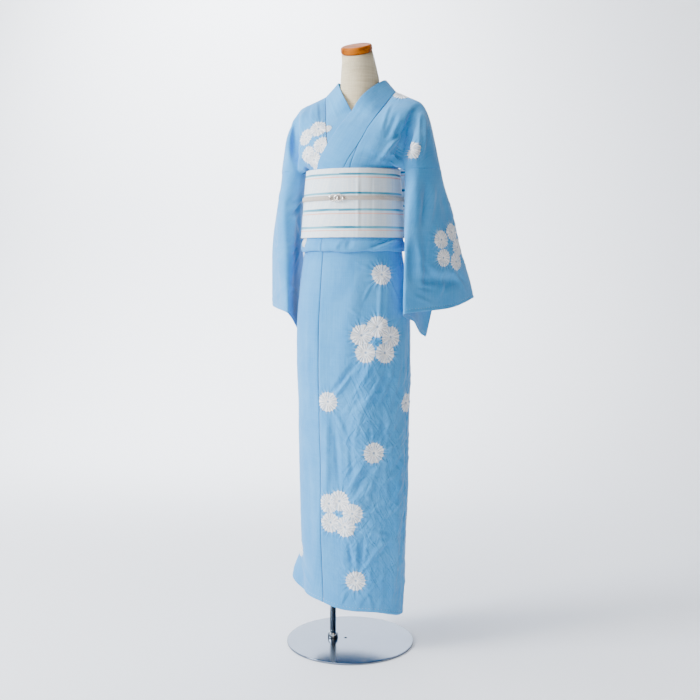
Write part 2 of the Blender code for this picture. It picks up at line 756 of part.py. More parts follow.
def cord(columns=48):
    """Flat braid on the belt in front and over the knot behind."""
    half_width = read(BELT, CORD_Z, "half_width") + SEAM_GAP + 0.0005 + CORD_WALL
    front = read(BELT, CORD_Z, "half_depth") + SEAM_GAP + 0.0005 + CORD_WALL
    back = card_y(0) + KNOT_STRAP_WALL + 3 * SEAM_GAP + CORD_WALL
    rows = []
    for height in (-0.5, 0.0, 0.5):
        row = []
        for j in range(columns):
            turn = 2 * math.pi * j / columns
            side, ahead = math.sin(turn), -math.cos(turn)
            power = 2.0 if ahead <= 0 else 2.0 + 3.0 * smooth(0.0, 0.5, ahead)
            depth = front if ahead <= 0 else back
            size = (abs(side) ** power + abs(ahead) ** power) ** (-1 / power)
            row.append(Vector((CENTRE_X + half_width * side * size, depth * ahead * size,
                               CORD_Z + height * CORD_WIDTH)))
        rows.append(row)
    shell("belt_cord", rows, CORD_WALL, "cord_braid", closed=True)


# Ornament on the cord: two linked loops of metal, made one by a union
def ornament():
    loops = []
    for side in (-1, 1):
        bpy.ops.mesh.primitive_torus_add(major_segments=22, minor_segments=6, major_radius=0.0072,
                                         minor_radius=0.0017, location=(0, 0, 0))
        loop = bpy.context.object
        loop.data.transform(loop.matrix_world)
        for vert in loop.data.vertices:
            vert.co = Vector((vert.co.x * 1.45 + side * 0.0068, vert.co.z, vert.co.y))
        loop.data.flip_normals()
        loops.append(loop)
    first, second = loops
    adopt(first, "cord_ornament", "ornament_metal")
    second.name = "cutter_second_loop"
    tools = bpy.data.collections.new("cutters")
    bpy.context.scene.collection.children.link(tools)
    for holder in list(second.users_collection):
        holder.objects.unlink(second)
    tools.objects.link(second)
    second.hide_render = True
    second.display_type = "WIRE"
    front = read(BELT, CORD_Z, "half_depth") + SEAM_GAP + 0.0005 + CORD_WALL
    place = (CENTRE_X - 0.004, -front - 0.0017 - 2 * SEAM_GAP, CORD_Z)
    first.location = place
    second.location = place
    union = first.modifiers.new("union", "BOOLEAN")
    union.operation = "UNION"
    union.object = second


stand()
torso_form()
neck_cap()
skirt()
tuck()
collar()
gore("upper_gore_left", 0.0, False)
gore("upper_gore_right", LAYER, True)
shell("body_left", body_rows(0.0), WALL, "cotton")
shell("body_right", mirrored(body_rows(LAYER)), WALL, "cotton")
shell("sleeve_left", sleeve_rows(SLEEVE_BOTTOM_LEFT), WALL, "cotton", closed=True)
right_sleeve = mirrored(sleeve_rows(SLEEVE_BOTTOM_RIGHT))
shell("sleeve_right", right_sleeve, WALL, "cotton", closed=True)
belt()
knot()
cord()
ornament()
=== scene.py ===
import math
from collections import namedtuple

import bpy
import numpy as np
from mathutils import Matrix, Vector, noise


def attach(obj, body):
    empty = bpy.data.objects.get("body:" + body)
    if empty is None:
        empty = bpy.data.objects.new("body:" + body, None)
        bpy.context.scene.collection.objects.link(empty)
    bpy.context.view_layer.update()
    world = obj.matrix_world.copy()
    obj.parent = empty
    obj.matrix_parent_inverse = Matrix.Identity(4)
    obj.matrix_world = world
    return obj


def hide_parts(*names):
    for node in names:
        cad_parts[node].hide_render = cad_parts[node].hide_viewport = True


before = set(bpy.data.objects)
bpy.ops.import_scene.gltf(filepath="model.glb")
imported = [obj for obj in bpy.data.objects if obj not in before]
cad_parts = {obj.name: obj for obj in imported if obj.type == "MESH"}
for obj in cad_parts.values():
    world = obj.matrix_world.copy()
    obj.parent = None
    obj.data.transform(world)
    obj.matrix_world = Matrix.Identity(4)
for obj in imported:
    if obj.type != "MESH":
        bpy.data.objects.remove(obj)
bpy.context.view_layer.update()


# Stage: pale studio sweep, a soft key from the left front, a weak fill and the camera.
# Made as one curved sheet of matt paper; the lights are large and soft.
def linear(code):
    """Linear colour of a hex sRGB code."""
    parts = [int(code[i:i + 2], 16) / 255 for i in (1, 3, 5)]
    parts = [c / 12.92 if c <= 0.04045 else ((c + 0.055) / 1.055) ** 2.4 for c in parts]
    return tuple(parts) + (1.0,)


def add_node(tree, kind, inputs=None, **settings):
    """Node with its settings; each input takes a value or the socket to link."""
    made = tree.nodes.new(kind)
    for key, value in settings.items():
        setattr(made, key, value)
    for key, value in (inputs or {}).items():
        if isinstance(value, bpy.types.NodeSocket):
            tree.links.new(value, made.inputs[key])
        else:
            made.inputs[key].default_value = value
    return made


def calc(tree, operation, *values):
    """Result socket of a maths node."""
    return add_node(tree, "ShaderNodeMath", dict(enumerate(values)), operation=operation).outputs[0]


def ramp(tree, value, low, high, start=0.0, end=1.0):
    """Value eased from start at low to end at high."""
    made = add_node(tree, "ShaderNodeMapRange", {"Value": value, "From Min": low, "From Max": high,
                                                 "To Min": start, "To Max": end},
                    interpolation_type="SMOOTHSTEP")
    return made.outputs["Result"]


def mix(tree, share, first, second):
    """Colour mixed between two colours."""
    made = add_node(tree, "ShaderNodeMix", {0: share, 6: first, 7: second}, data_type="RGBA")
    return made.outputs[2]


def weighted(tree, first, share, second, other):
    """Sum of two values, each times its share."""
    return calc(tree, "ADD", calc(tree, "MULTIPLY", first, share),
                calc(tree, "MULTIPLY", second, other))


def speckle(tree, place, scale, detail):
    """Value of a noise texture."""
    return add_node(tree, "ShaderNodeTexNoise", {"Vector": place, "Scale": scale,
                                                 "Detail": detail}).outputs["Fac"]


def emboss(tree, shader, height, strength, distance):
    """Bump on the shader's surface, from a height."""
    bump = add_node(tree, "ShaderNodeBump", {"Height": height, "Strength": strength,
                                             "Distance": distance})
    tree.links.new(bump.outputs[0], shader.inputs["Normal"])


def new_material(name, roughness, **inputs):
    """Material with a plain shader, its tree and the shader."""
    made = bpy.data.materials.new(name)
    made.use_nodes = True
    shader = made.node_tree.nodes["Principled BSDF"]
    shader.inputs["Roughness"].default_value = roughness
    for key, value in inputs.items():
        shader.inputs[key.replace("_", " ")].default_value = value
    return made, made.node_tree, shader


def studio():
    sweep_width = 9.0
    profile = [(-5.0, 0.0), (1.6, 0.0)]
    for step in range(1, 13):
        turn = math.pi / 2 * step / 12
        profile.append((1.6 + 1.2 * math.sin(turn), 1.2 - 1.2 * math.cos(turn)))
    profile.append((2.8, 6.0))
    verts = [(side * sweep_width / 2, y, z) for y, z in profile for side in (-1, 1)]
    faces = [(2 * i, 2 * i + 1, 2 * i + 3, 2 * i + 2) for i in range(len(profile) - 1)]
    mesh = bpy.data.meshes.new("sweep")
    mesh.from_pydata(verts, [], faces)
    mesh.shade_smooth()
    sweep = bpy.data.objects.new("sweep", mesh)
    bpy.context.scene.collection.objects.link(sweep)
    paper, tree, shader = new_material("paper", 0.9)
    shader.inputs["Base Color"].default_value = linear("#F4F8FF")
    mesh.materials.append(paper)

    world = bpy.data.worlds.new("studio")
    world.use_nodes = True
    sky = world.node_tree.nodes["Background"]
    sky.inputs["Color"].default_value = linear("#EEF2F8")
    way = add_node(world.node_tree, "ShaderNodeTexCoord").outputs["Generated"]
    left = add_node(world.node_tree, "ShaderNodeVectorMath", {0: way, 1: (-0.83, -0.50, 0.25)},
                    operation="DOT_PRODUCT").outputs["Value"]
    glow = ramp(world.node_tree, left, -0.35, 0.9, 0.03, 1.0)
    seen = add_node(world.node_tree, "ShaderNodeLightPath").outputs["Is Camera Ray"]
    glow = calc(world.node_tree, "MAXIMUM", glow, calc(world.node_tree, "MULTIPLY", seen, 0.8))
    world.node_tree.links.new(glow, sky.inputs["Strength"])
    bpy.context.scene.world = world

    for name, place, size, power in (("key", (-3.1, -2.3, 2.3), 1.7, 310.0),
                                     ("wall", (-1.6, 0.6, 3.9), 1.6, 1600.0),
                                     ("fill", (1.5, -3.2, 0.6), 2.0, 24.0),
                                     ("top", (-1.0, -0.6, 4.2), 2.6, 140.0)):
        light = bpy.data.lights.new(name, "SPOT" if name == "wall" else "AREA")
        if name == "wall":
            light.spot_size = math.radians(92)
            light.spot_blend = 0.9
            light.shadow_soft_size = size / 2
        else:
            light.shape = "DISK"
            light.size = size
        light.energy = power
        if name == "fill":
            light.color = linear("#FFDDB8")[:3]
        lamp = bpy.data.objects.new(name, light)
        lamp.location = place
        aim = Vector((-1.9, 2.8, 1.5)) if name == "wall" else Vector((0.0, 0.0, 0.85))
        lamp.rotation_euler = (aim - Vector(place)).to_track_quat("-Z", "Y").to_euler()
        bpy.context.scene.collection.objects.link(lamp)

    lens = bpy.data.cameras.new("camera")
    lens.sensor_width = 36.0
    lens.lens = 51.02
    eye = bpy.data.objects.new("camera", lens)
    eye.location = (0.8516, -2.3398, 0.971)
    eye.rotation_euler = (math.radians(85), 0.0, math.radians(20))
    bpy.context.scene.collection.objects.link(eye)
    bpy.context.scene.camera = eye


studio()


# Stand: brushed steel disc with a bevelled edge, turned chrome socket, screw and pole.
# The disc is cut from plate and brushed; the pole is drawn tube pushed into the socket.
def turned(name, profile, place, steps, shade, node):
    """Solid of revolution about a vertical axis, from its profile of radius and height."""
    verts = []
    for radius, height in profile:
        for j in range(steps):
            turn = 2 * math.pi * j / steps
            verts.append((place[0] + radius * math.cos(turn), place[1] + radius * math.sin(turn),
                          place[2] + height))
    faces = []
    for i in range(len(profile) - 1):
        for j in range(steps):
            k = (j + 1) % steps
            faces.append((i * steps + j, i * steps + k, (i + 1) * steps + k, (i + 1) * steps + j))
    faces.append(tuple(reversed(range(steps))))
    faces.append(tuple(range((len(profile) - 1) * steps, len(profile) * steps)))
    mesh = bpy.data.meshes.new(name)
    mesh.from_pydata(verts, [], faces)
    mesh.shade_smooth()
    mesh.materials.append(shade)
    piece = bpy.data.objects.new(name, mesh)
    bpy.context.scene.collection.objects.link(piece)
    piece.modifiers.new("weighted", "WEIGHTED_NORMAL")
    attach(piece, "root")
    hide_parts(node)
    return piece


def steel_material():
    made, tree, shader = new_material("brushed_plate", 0.36, Metallic=1.0)
    place = add_node(tree, "ShaderNodeTexCoord").outputs["Object"]
    lines = add_node(tree, "ShaderNodeMapping", {"Vector": place, "Scale": (40.0, 900.0, 40.0)})
    grain = speckle(tree, lines.outputs[0], 1.0, 3.0)
    cloud = add_node(tree, "ShaderNodeTexNoise", {"Vector": place, "Scale": 7.0}).outputs["Fac"]
    share = weighted(tree, grain, 0.6, cloud, 0.4)
    colour = mix(tree, share, linear("#5F6B7B"), linear("#808B9A"))
    tree.links.new(colour, shader.inputs["Base Color"])
    tree.links.new(ramp(tree, grain, 0.3, 0.7, 0.13, 0.19), shader.inputs["Roughness"])
    emboss(tree, shader, grain, 0.15, 0.0003)
    return made


def chrome_material():
    made, tree, shader = new_material("polished_chrome", 0.12, Metallic=1.0)
    place = add_node(tree, "ShaderNodeTexCoord").outputs["Object"]
    smear = speckle(tree, place, 22.0, 3.0)
    colour = mix(tree, smear, linear("#8D98A2"), linear("#A9B2BA"))
    tree.links.new(colour, shader.inputs["Base Color"])
    tree.links.new(ramp(tree, smear, 0.35, 0.7, 0.09, 0.20), shader.inputs["Roughness"])
    return made


def stand():
    steel = steel_material()
    chrome = chrome_material()
    disc = [(0.1600, 0.0), (0.1618, 0.0003), (0.1625, 0.0012), (0.1625, 0.0038), (0.1618, 0.0047),
            (0.1604, 0.0050), (0.1540, 0.0050)]
    turned("disc", disc, (0, 0, 0), 160, steel, "base_disc")
    socket = [(0.0128, 0.0), (0.0135, 0.0006), (0.0133, 0.0060), (0.0118, 0.0128), (0.0112, 0.0139),
              (0.0100, 0.0140)]
    turned("socket", socket, (-0.045, -0.005, 0.0053), 48, chrome, "base_socket")
    screw = [(0.0038, 0.0), (0.0040, 0.0003), (0.0040, 0.0010), (0.0034, 0.0015), (0.0012, 0.0016),
             (0.0009, 0.0009)]
    turned("screw", screw, (-0.0136, 0.0035, 0.0053), 32, chrome, "base_screw")
    tube = [(0.0080, 0.0), (0.0080, 0.2500), (0.0080, 0.5000), (0.0080, 0.7398)]
    turned("pole_tube", tube, (-0.045, -0.005, 0.0197), 48, chrome, "pole")


stand()


# Torso form and its cap: cream linen stretched over a smooth form, and a turned wooden disc.
# The linen is glued down; the wood is varnished and sits tilted on the neck.
FormLevel = namedtuple("FormLevel", "z half_width front back neck")
FORM = [
    FormLevel(0.7600, 0.0900, -0.0560, 0.0560, 0.000),
    FormLevel(0.7680, 0.1120, -0.0760, 0.0760, 0.000),
    FormLevel(0.8000, 0.1220, -0.0850, 0.0850, 0.000),
    FormLevel(0.9000, 0.1200, -0.0850, 0.0850, 0.000),
    FormLevel(1.0000, 0.1090, -0.0810, 0.0820, 0.000),
    FormLevel(1.0800, 0.0990, -0.0770, 0.0790, 0.000),
    FormLevel(1.1500, 0.0990, -0.0770, 0.0790, 0.000),
    FormLevel(1.2100, 0.1050, -0.0740, 0.0830, 0.000),
    FormLevel(1.2600, 0.1140, -0.0530, 0.0900, 0.000),
    FormLevel(1.3000, 0.1260, -0.0230, 0.0960, 0.000),
    FormLevel(1.3300, 0.1350, -0.0060, 0.0980, 0.040),
    FormLevel(1.3500, 0.1375, 0.0120, 0.0940, 0.049),
    FormLevel(1.3640, 0.1340, 0.0240, 0.0860, 0.050),
    FormLevel(1.3796, 0.1190, 0.0400, 0.0700, 0.050),
    FormLevel(1.3881, 0.0980, 0.0460, 0.0640, 0.050),
    FormLevel(1.3960, 0.0700, 0.0480, 0.0600, 0.050),
    FormLevel(1.4120, 0.0485, 0.0040, 0.0990, 0.000),
    FormLevel(1.4300, 0.0485, 0.0035, 0.0985, 0.000),
    FormLevel(1.4760, 0.0405, -0.0030, 0.0770, 0.000),
    FormLevel(1.4900, 0.0385, -0.0090, 0.0670, 0.000),
]
CENTRE_X = 0.008
NECK_TOP = 1.490
NECK_TILT = math.radians(22)


def smooth(low, high, value):
    """Eased step from 0 at low to 1 at high, for numbers and arrays."""
    t = np.clip((value - low) / (high - low), 0.0, 1.0)
    return t * t * (3 - 2 * t)


def resample(grid, step, closed=False):
    """Rows of points spaced evenly, step apart, on smooth curves through the rows."""
    count = len(grid)
    ends = np.concatenate([grid, grid[:1]]) if closed else grid
    lengths = np.linalg.norm(np.diff(ends, axis=0), axis=2).mean(axis=1)
    places = np.concatenate([[0.0], np.cumsum(lengths)])
    number = max(2, int(round(places[-1] / step)))
    at = np.interp(np.linspace(0, places[-1], number + 1), places, np.arange(len(places)))
    if closed:
        at = at[:-1]
    i = np.clip(np.floor(at).astype(int), 0, len(ends) - 2)
    f = (at - i)[:, None, None]

    def row(k):
        return grid[k % count] if closed else grid[np.clip(k, 0, count - 1)]

    before, start, end, after = row(i - 1), row(i), row(i + 1), row(i + 2)
    return 0.5 * (2 * start + (end - before) * f
                  + (2 * before - 5 * start + 4 * end - after) * f ** 2
                  + (3 * start - before - 3 * end + after) * f ** 3)


def fine(rows, step, closed=False):
    """Finer grid through coarse rows of points."""
    grid = np.array([[tuple(point) for point in row] for row in rows], dtype=float)
    grid = resample(grid, step)
    return resample(grid.swapaxes(0, 1), step, closed).swapaxes(0, 1).copy()


def linen_material():
    made, tree, shader = new_material("linen_weave", 0.92, Sheen_Weight=0.15)
    place = add_node(tree, "ShaderNodeTexCoord").outputs["Object"]
    weft = add_node(tree, "ShaderNodeMapping", {"Vector": place, "Scale": (18.0, 18.0, 520.0)})
    warp = add_node(tree, "ShaderNodeMapping", {"Vector": place, "Scale": (480.0, 480.0, 16.0)})
    slub = speckle(tree, weft.outputs[0], 1.0, 2.0)
    thread = speckle(tree, warp.outputs[0], 1.0, 2.0)
    share = weighted(tree, slub, 0.65, thread, 0.35)
    colour = mix(tree, ramp(tree, share, 0.32, 0.68), linear("#C6B692"), linear("#DDD0B0"))
    tree.links.new(colour, shader.inputs["Base Color"])
    emboss(tree, shader, share, 0.5, 0.0006)
    return made


def wood_material():
    made, tree, shader = new_material("varnished_wood", 0.42, Specular_IOR_Level=0.08)
    place = add_node(tree, "ShaderNodeTexCoord").outputs["Object"]
    grain_place = add_node(tree, "ShaderNodeMapping", {"Vector": place,
                                                       "Scale": (14.0, 90.0, 90.0)})
    grain = add_node(tree, "ShaderNodeTexNoise", {"Vector": grain_place.outputs[0], "Scale": 1.0,
                                                  "Detail": 5.0, "Distortion": 0.6}).outputs["Fac"]
    pore_place = add_node(tree, "ShaderNodeMapping", {"Vector": place,
                                                      "Scale": (60.0, 700.0, 700.0)})
    pores = speckle(tree, pore_place.outputs[0], 1.0, 2.0)
    colour = mix(tree, ramp(tree, grain, 0.35, 0.68), linear("#B86400"), linear("#7C3C00"))
    colour = mix(tree, ramp(tree, pores, 0.60, 0.75, 0.0, 0.4), colour, linear("#5E2C08"))
    tree.links.new(colour, shader.inputs["Base Color"])
    emboss(tree, shader, grain, 0.15, 0.0005)
    return made


def torso(columns=56):
    rows = []
    for level in FORM:
        middle = (level.front + level.back) / 2
        depth = (level.back - level.front) / 2
        row = []
        for j in range(columns):
            turn = 2 * math.pi * j / columns
            side, ahead = math.sin(turn), -math.cos(turn)
            reach = 1 / math.hypot(side / level.half_width, ahead / depth)
            reach = (reach ** 8 + level.neck ** 8) ** (1 / 8)
            rise = math.tan(NECK_TILT) * smooth(1.41, NECK_TOP, level.z)
            row.append((CENTRE_X + reach * side, middle + reach * ahead,
                        level.z + reach * ahead * rise))
        rows.append(row)
    grid = np.array(rows)
    count, width = grid.shape[:2]
    faces = []
    for i in range(count - 1):
        for j in range(width):
            k = (j + 1) % width
            faces.append((i * width + j, i * width + k, (i + 1) * width + k, (i + 1) * width + j))
    faces.append(tuple(reversed(range(width))))
    faces.append(tuple(range((count - 1) * width, count * width)))
    mesh = bpy.data.meshes.new("form")
    mesh.from_pydata([tuple(p) for p in grid.reshape(-1, 3)], [], faces)
    mesh.shade_smooth()
    mesh.materials.append(linen_material())
    piece = bpy.data.objects.new("form", mesh)
    bpy.context.scene.collection.objects.link(piece)
    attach(piece, "root")
    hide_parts("torso_form")


def cap():
    radius, height, rim = 0.0395, 0.018, 0.006
    profile = [(0.001, 0.0)]
    for step in range(9):
        turn = -math.pi / 2 + math.pi / 2 * step / 8
        profile.append((radius - rim + rim * math.cos(turn), rim + rim * math.sin(turn)))
    for step in range(9):
        turn = math.pi / 2 * step / 8
        profile.append((radius - rim + rim * math.cos(turn), height - rim + rim * math.sin(turn)))
    profile.append((0.001, height))
    piece = turned("cap", profile, (0, 0, 0), 96, wood_material(), "neck_cap")
    seat = Vector((0, -math.sin(NECK_TILT), math.cos(NECK_TILT))) * 0.0006
    middle = Vector((CENTRE_X, (FORM[-1].front + FORM[-1].back) / 2, NECK_TOP)) + seat
    for vert in piece.data.vertices:
        x, y, z = vert.co
        vert.co = middle + Vector((x, y * math.cos(NECK_TILT) - z * math.sin(NECK_TILT),
                                   y * math.sin(NECK_TILT) + z * math.cos(NECK_TILT)))


torso()
cap()


# Skirt of the robe: six panels of light blue cotton, wrapped left over right.
# Plain woven, dyed with tied rosettes that pucker the cloth, sewn with open seams.
WALL = 0.0012
SEAM_GAP = 0.0003
LAYER = 0.0030

SkirtLevel = namedtuple("SkirtLevel", "z half_width half_depth")
SKIRT = [
    SkirtLevel(0.070, 0.1300, 0.0960),
    SkirtLevel(0.241, 0.1360, 0.0980),
    SkirtLevel(0.366, 0.1395, 0.1000),
    SkirtLevel(0.490, 0.1420, 0.1020),
    SkirtLevel(0.613, 0.1430, 0.1040),
    SkirtLevel(0.735, 0.1470, 0.1050),
    SkirtLevel(0.820, 0.1455, 0.1045),
    SkirtLevel(0.900, 0.1400, 0.1030),
    SkirtLevel(0.965, 0.1310, 0.0995),
    SkirtLevel(1.000, 0.1250, 0.0958),
    SkirtLevel(1.033, 0.1236, 0.0951),
    SkirtLevel(1.120, 0.1149, 0.0906),
]
HemPoint = namedtuple("HemPoint", "angle z")
HEM = [
    HemPoint(-92, 0.161),
    HemPoint(-66, 0.137),
    HemPoint(-28, 0.128),
    HemPoint(7, 0.115),
    HemPoint(36, 0.111),
    HemPoint(86, 0.089),
    HemPoint(180, 0.082),
    HemPoint(240, 0.084),
    HemPoint(255, 0.104),
    HemPoint(268, 0.138),
    HemPoint(300, 0.150),
    HemPoint(332, 0.136),
    HemPoint(381, 0.130),
    HemPoint(452, 0.152),
]
# Cut is the flat width and length of the panel; step is the spacing of its mesh
Panel = namedtuple("Panel", "name start end step cut")
PANELS = [
    Panel("gore_left", -92, -21, 0.0030, (0.155, 1.000)),
    Panel("front_left", -21, 86, 0.0030, (0.235, 1.015)),
    Panel("back_left", 86, 180, 0.0045, (0.205, 1.035)),
    Panel("back_right", 180, 274, 0.0045, (0.205, 1.035)),
    Panel("front_right", 274, 381, 0.0080, (0.230, 0.985)),
    Panel("gore_right", 381, 452, 0.0080, (0.150, 0.980)),
]
Fold = namedtuple("Fold", "angle top bottom drift width depth")
FOLDS = [
    Fold(58, 0.98, 0.50, -46, 9, 0.0046),
    Fold(20, 0.95, 0.62, -26, 8, 0.0034),
    Fold(-30, 0.90, 0.44, 20, 9, 0.0036),
    Fold(34, 0.66, 0.20, -30, 8, 0.0040),
    Fold(-8, 0.52, 0.14, -26, 8, 0.0034),
    Fold(72, 0.56, 0.12, -10, 8, 0.0046),
    Fold(122, 0.96, 0.30, 12, 10, 0.0052),
    Fold(160, 0.92, 0.24, -8, 9, 0.0046),
    Fold(205, 0.94, 0.34, 12, 10, 0.0048),
    Fold(240, 0.90, 0.22, -8, 9, 0.0044),
]
CORNER_FLARE = 0.034


def read(table, at, column):
    """Values of a column at places in a table, on a curve that doesn't overshoot its rows."""
    places = np.array([row[0] for row in table], dtype=float)
    values = np.array([getattr(row, column) for row in table], dtype=float)
    steps = np.diff(places)
    rises = np.diff(values) / steps
    slopes = np.empty(len(places))
    slopes[0], slopes[-1] = rises[0], rises[-1]
    product = rises[:-1] * rises[1:]
    total = np.where(product > 0, rises[:-1] + rises[1:], 1.0)
    slopes[1:-1] = np.where(product > 0, 2 * product / total, 0.0)
    at = np.clip(at, places[0], places[-1])
    i = np.clip(np.searchsorted(places, at, side="right") - 1, 0, len(steps) - 1)
    t = (at - places[i]) / steps[i]
    near = (1 + 2 * t) * (1 - t) ** 2 * values[i] + t * (1 - t) ** 2 * steps[i] * slopes[i]
    far = t * t * (3 - 2 * t) * values[i + 1] - t * t * (1 - t) * steps[i] * slopes[i + 1]
    return near + far


def skirt_point(angle, z, proud=0.0):
    """Points of the wrapped sheet at angles in degrees from the front and heights."""
    shown = 1 - smooth(250, 268, angle)
    out = proud - LAYER * smooth(200, 260, angle)
    for fold in FOLDS:
        run = (fold.top - z) / (fold.top - fold.bottom)
        fade = smooth(-0.08, 0.25, run) * (1 - smooth(0.75, 1.08, run))
        apart = (angle - fold.angle - fold.drift * run + 180) % 360 - 180
        out = out + shown * fold.depth * fade * np.exp(-(apart / fold.width) ** 2)
    out = out + CORNER_FLARE * smooth(-62, -92, angle) * smooth(0.26, 0.155, z)
    half_width = read(SKIRT, z, "half_width") + out
    half_depth = read(SKIRT, z, "half_depth") + out
    turn = np.radians(angle)
    return np.stack([CENTRE_X + half_width * np.sin(turn), -half_depth * np.cos(turn), z], axis=-1)


def panel_angles(panel, columns):
    inset = math.degrees((SEAM_GAP + 0.0003) / 2 / 0.1)
    return np.linspace(panel.start + inset, panel.end - inset, columns + 1)


# Tied rosettes: middle and radius. Creases: soft ridges, or troughs if the height is below 0.
Rosette = namedtuple("Rosette", "x y z radius")
Crease = namedtuple("Crease", "start end width height bend")


def normals_of(grid, closed):
    """Unit normals of a grid of points."""
    if closed:
        across = np.roll(grid, -1, axis=1) - np.roll(grid, 1, axis=1)
    else:
        across = np.gradient(grid, axis=1)
    up = np.gradient(grid, axis=0)
    normal = np.cross(across, up)
    return normal / np.maximum(np.linalg.norm(normal, axis=2, keepdims=True), 1e-12)


def crease_heights(points, normals, creases):
    """Height added to each point by creases, each laid along a line on the surface."""
    total = np.zeros(len(points))
    for crease in creases:
        start, end = np.array(crease.start), np.array(crease.end)
        axis = end - start
        length = np.linalg.norm(axis)
        nearest = np.argmin(np.linalg.norm(points - (start + end) / 2, axis=1))
        if np.linalg.norm(points[nearest] - (start + end) / 2) > 0.05 + length / 4:
            continue
        normal = normals[nearest]
        side = np.cross(normal, axis / length)
        rel = points - start
        along_line = rel @ axis / length ** 2
        apart = rel @ side - crease.bend * 4 * along_line * (1 - along_line)
        close = smooth(0.045, 0.03, np.abs(rel @ normal))
        ends = smooth(-0.1, 0.3, along_line) * (1 - smooth(0.6, 1.1, along_line))
        wave = np.exp(-(apart / crease.width) ** 2)
        wave -= 0.45 * np.exp(-((apart - 1.7 * crease.width) / crease.width) ** 2)
        total += crease.height * wave * ends * close
    return total


def rosette_frames(points, normals, rosettes):
    """Middle, across, up and normal of each rosette, on the surface."""
    frames = []
    for rosette in rosettes:
        place = np.array([rosette.x, rosette.y, rosette.z])
        nearest = np.argmin(np.linalg.norm(points - place, axis=1))
        if np.linalg.norm(points[nearest] - place) > 0.006:
            continue
        normal = normals[nearest]
        up = np.array([0.0, 0.0, 1.0]) - normal * normal[2]
        up /= np.linalg.norm(up)
        frames.append((points[nearest], np.cross(up, normal), up, normal, rosette.radius))
    return frames


def rosette_heights(points, frames, seed):
    """Domes of the rosettes and the puckers that run out of them."""
    rng = np.random.default_rng(seed)
    total = np.zeros(len(points))
    for middle, across, up, normal, radius in frames:
        rel = points - middle
        x, y = rel @ across, rel @ up
        r = np.hypot(x, y) / radius
        turn = np.arctan2(y, x)
        close = smooth(1.0, 0.6, np.abs(rel @ normal) / (radius * 1.6))
        wave = np.zeros(len(points))
        for count in (7, 11, 16):
            wave += np.cos(count * turn + rng.uniform(0, 6.28)) * rng.uniform(0.5, 1.0)
        ridge = np.sign(wave) * np.abs(wave) ** 0.8 * 0.45
        puckers = 0.0008 * ridge * smooth(0.7, 1.1, r) * (1 - smooth(1.2, 2.6, r))
        dome = 0.0011 * np.exp(-((r - 0.62) / 0.34) ** 2) - 0.0009 * np.exp(-(r / 0.22) ** 2)
        total += close * (puckers + dome)
    return total


def ruffle(points, size, height, seed):
    """Gentle unevenness of hung cloth: a few slow waves, mostly across the thread."""
    rng = np.random.default_rng(seed)
    total = np.zeros(len(points))
    for _ in range(10):
        way = rng.normal(size=3) * np.array([1.0, 1.0, 0.45])
        way *= 2 * math.pi / (size * rng.uniform(0.7, 1.8)) / np.linalg.norm(way)
        total += np.sin(points @ way + rng.uniform(0, 6.28))
    return height * total / 3.2


def crumples(across, up, worn, seed):
    """Sharp little ridges that cross, as high in metres as worn says."""
    height = np.zeros(across.shape)
    for number, (lean, long, short, share) in enumerate(((53, 0.100, 0.034, 1.0),
                                                         (-64, 0.080, 0.030, 0.6))):
        turn = math.radians(lean)
        along_fold = (across * math.cos(turn) + up * math.sin(turn)) / long
        over_fold = (up * math.cos(turn) - across * math.sin(turn)) / short
        for row, column in zip(*np.nonzero(worn > 0.0001)):
            spot = Vector((along_fold[row, column], over_fold[row, column], seed + 5.3 * number))
            bend = noise.noise(spot * 0.7) * 0.8
            value = noise.noise(spot + Vector((bend, bend, 0.0)))
            height[row, column] += share * max(0.0, 1 - abs(value) / 0.30) ** 1.5
    return height * worn


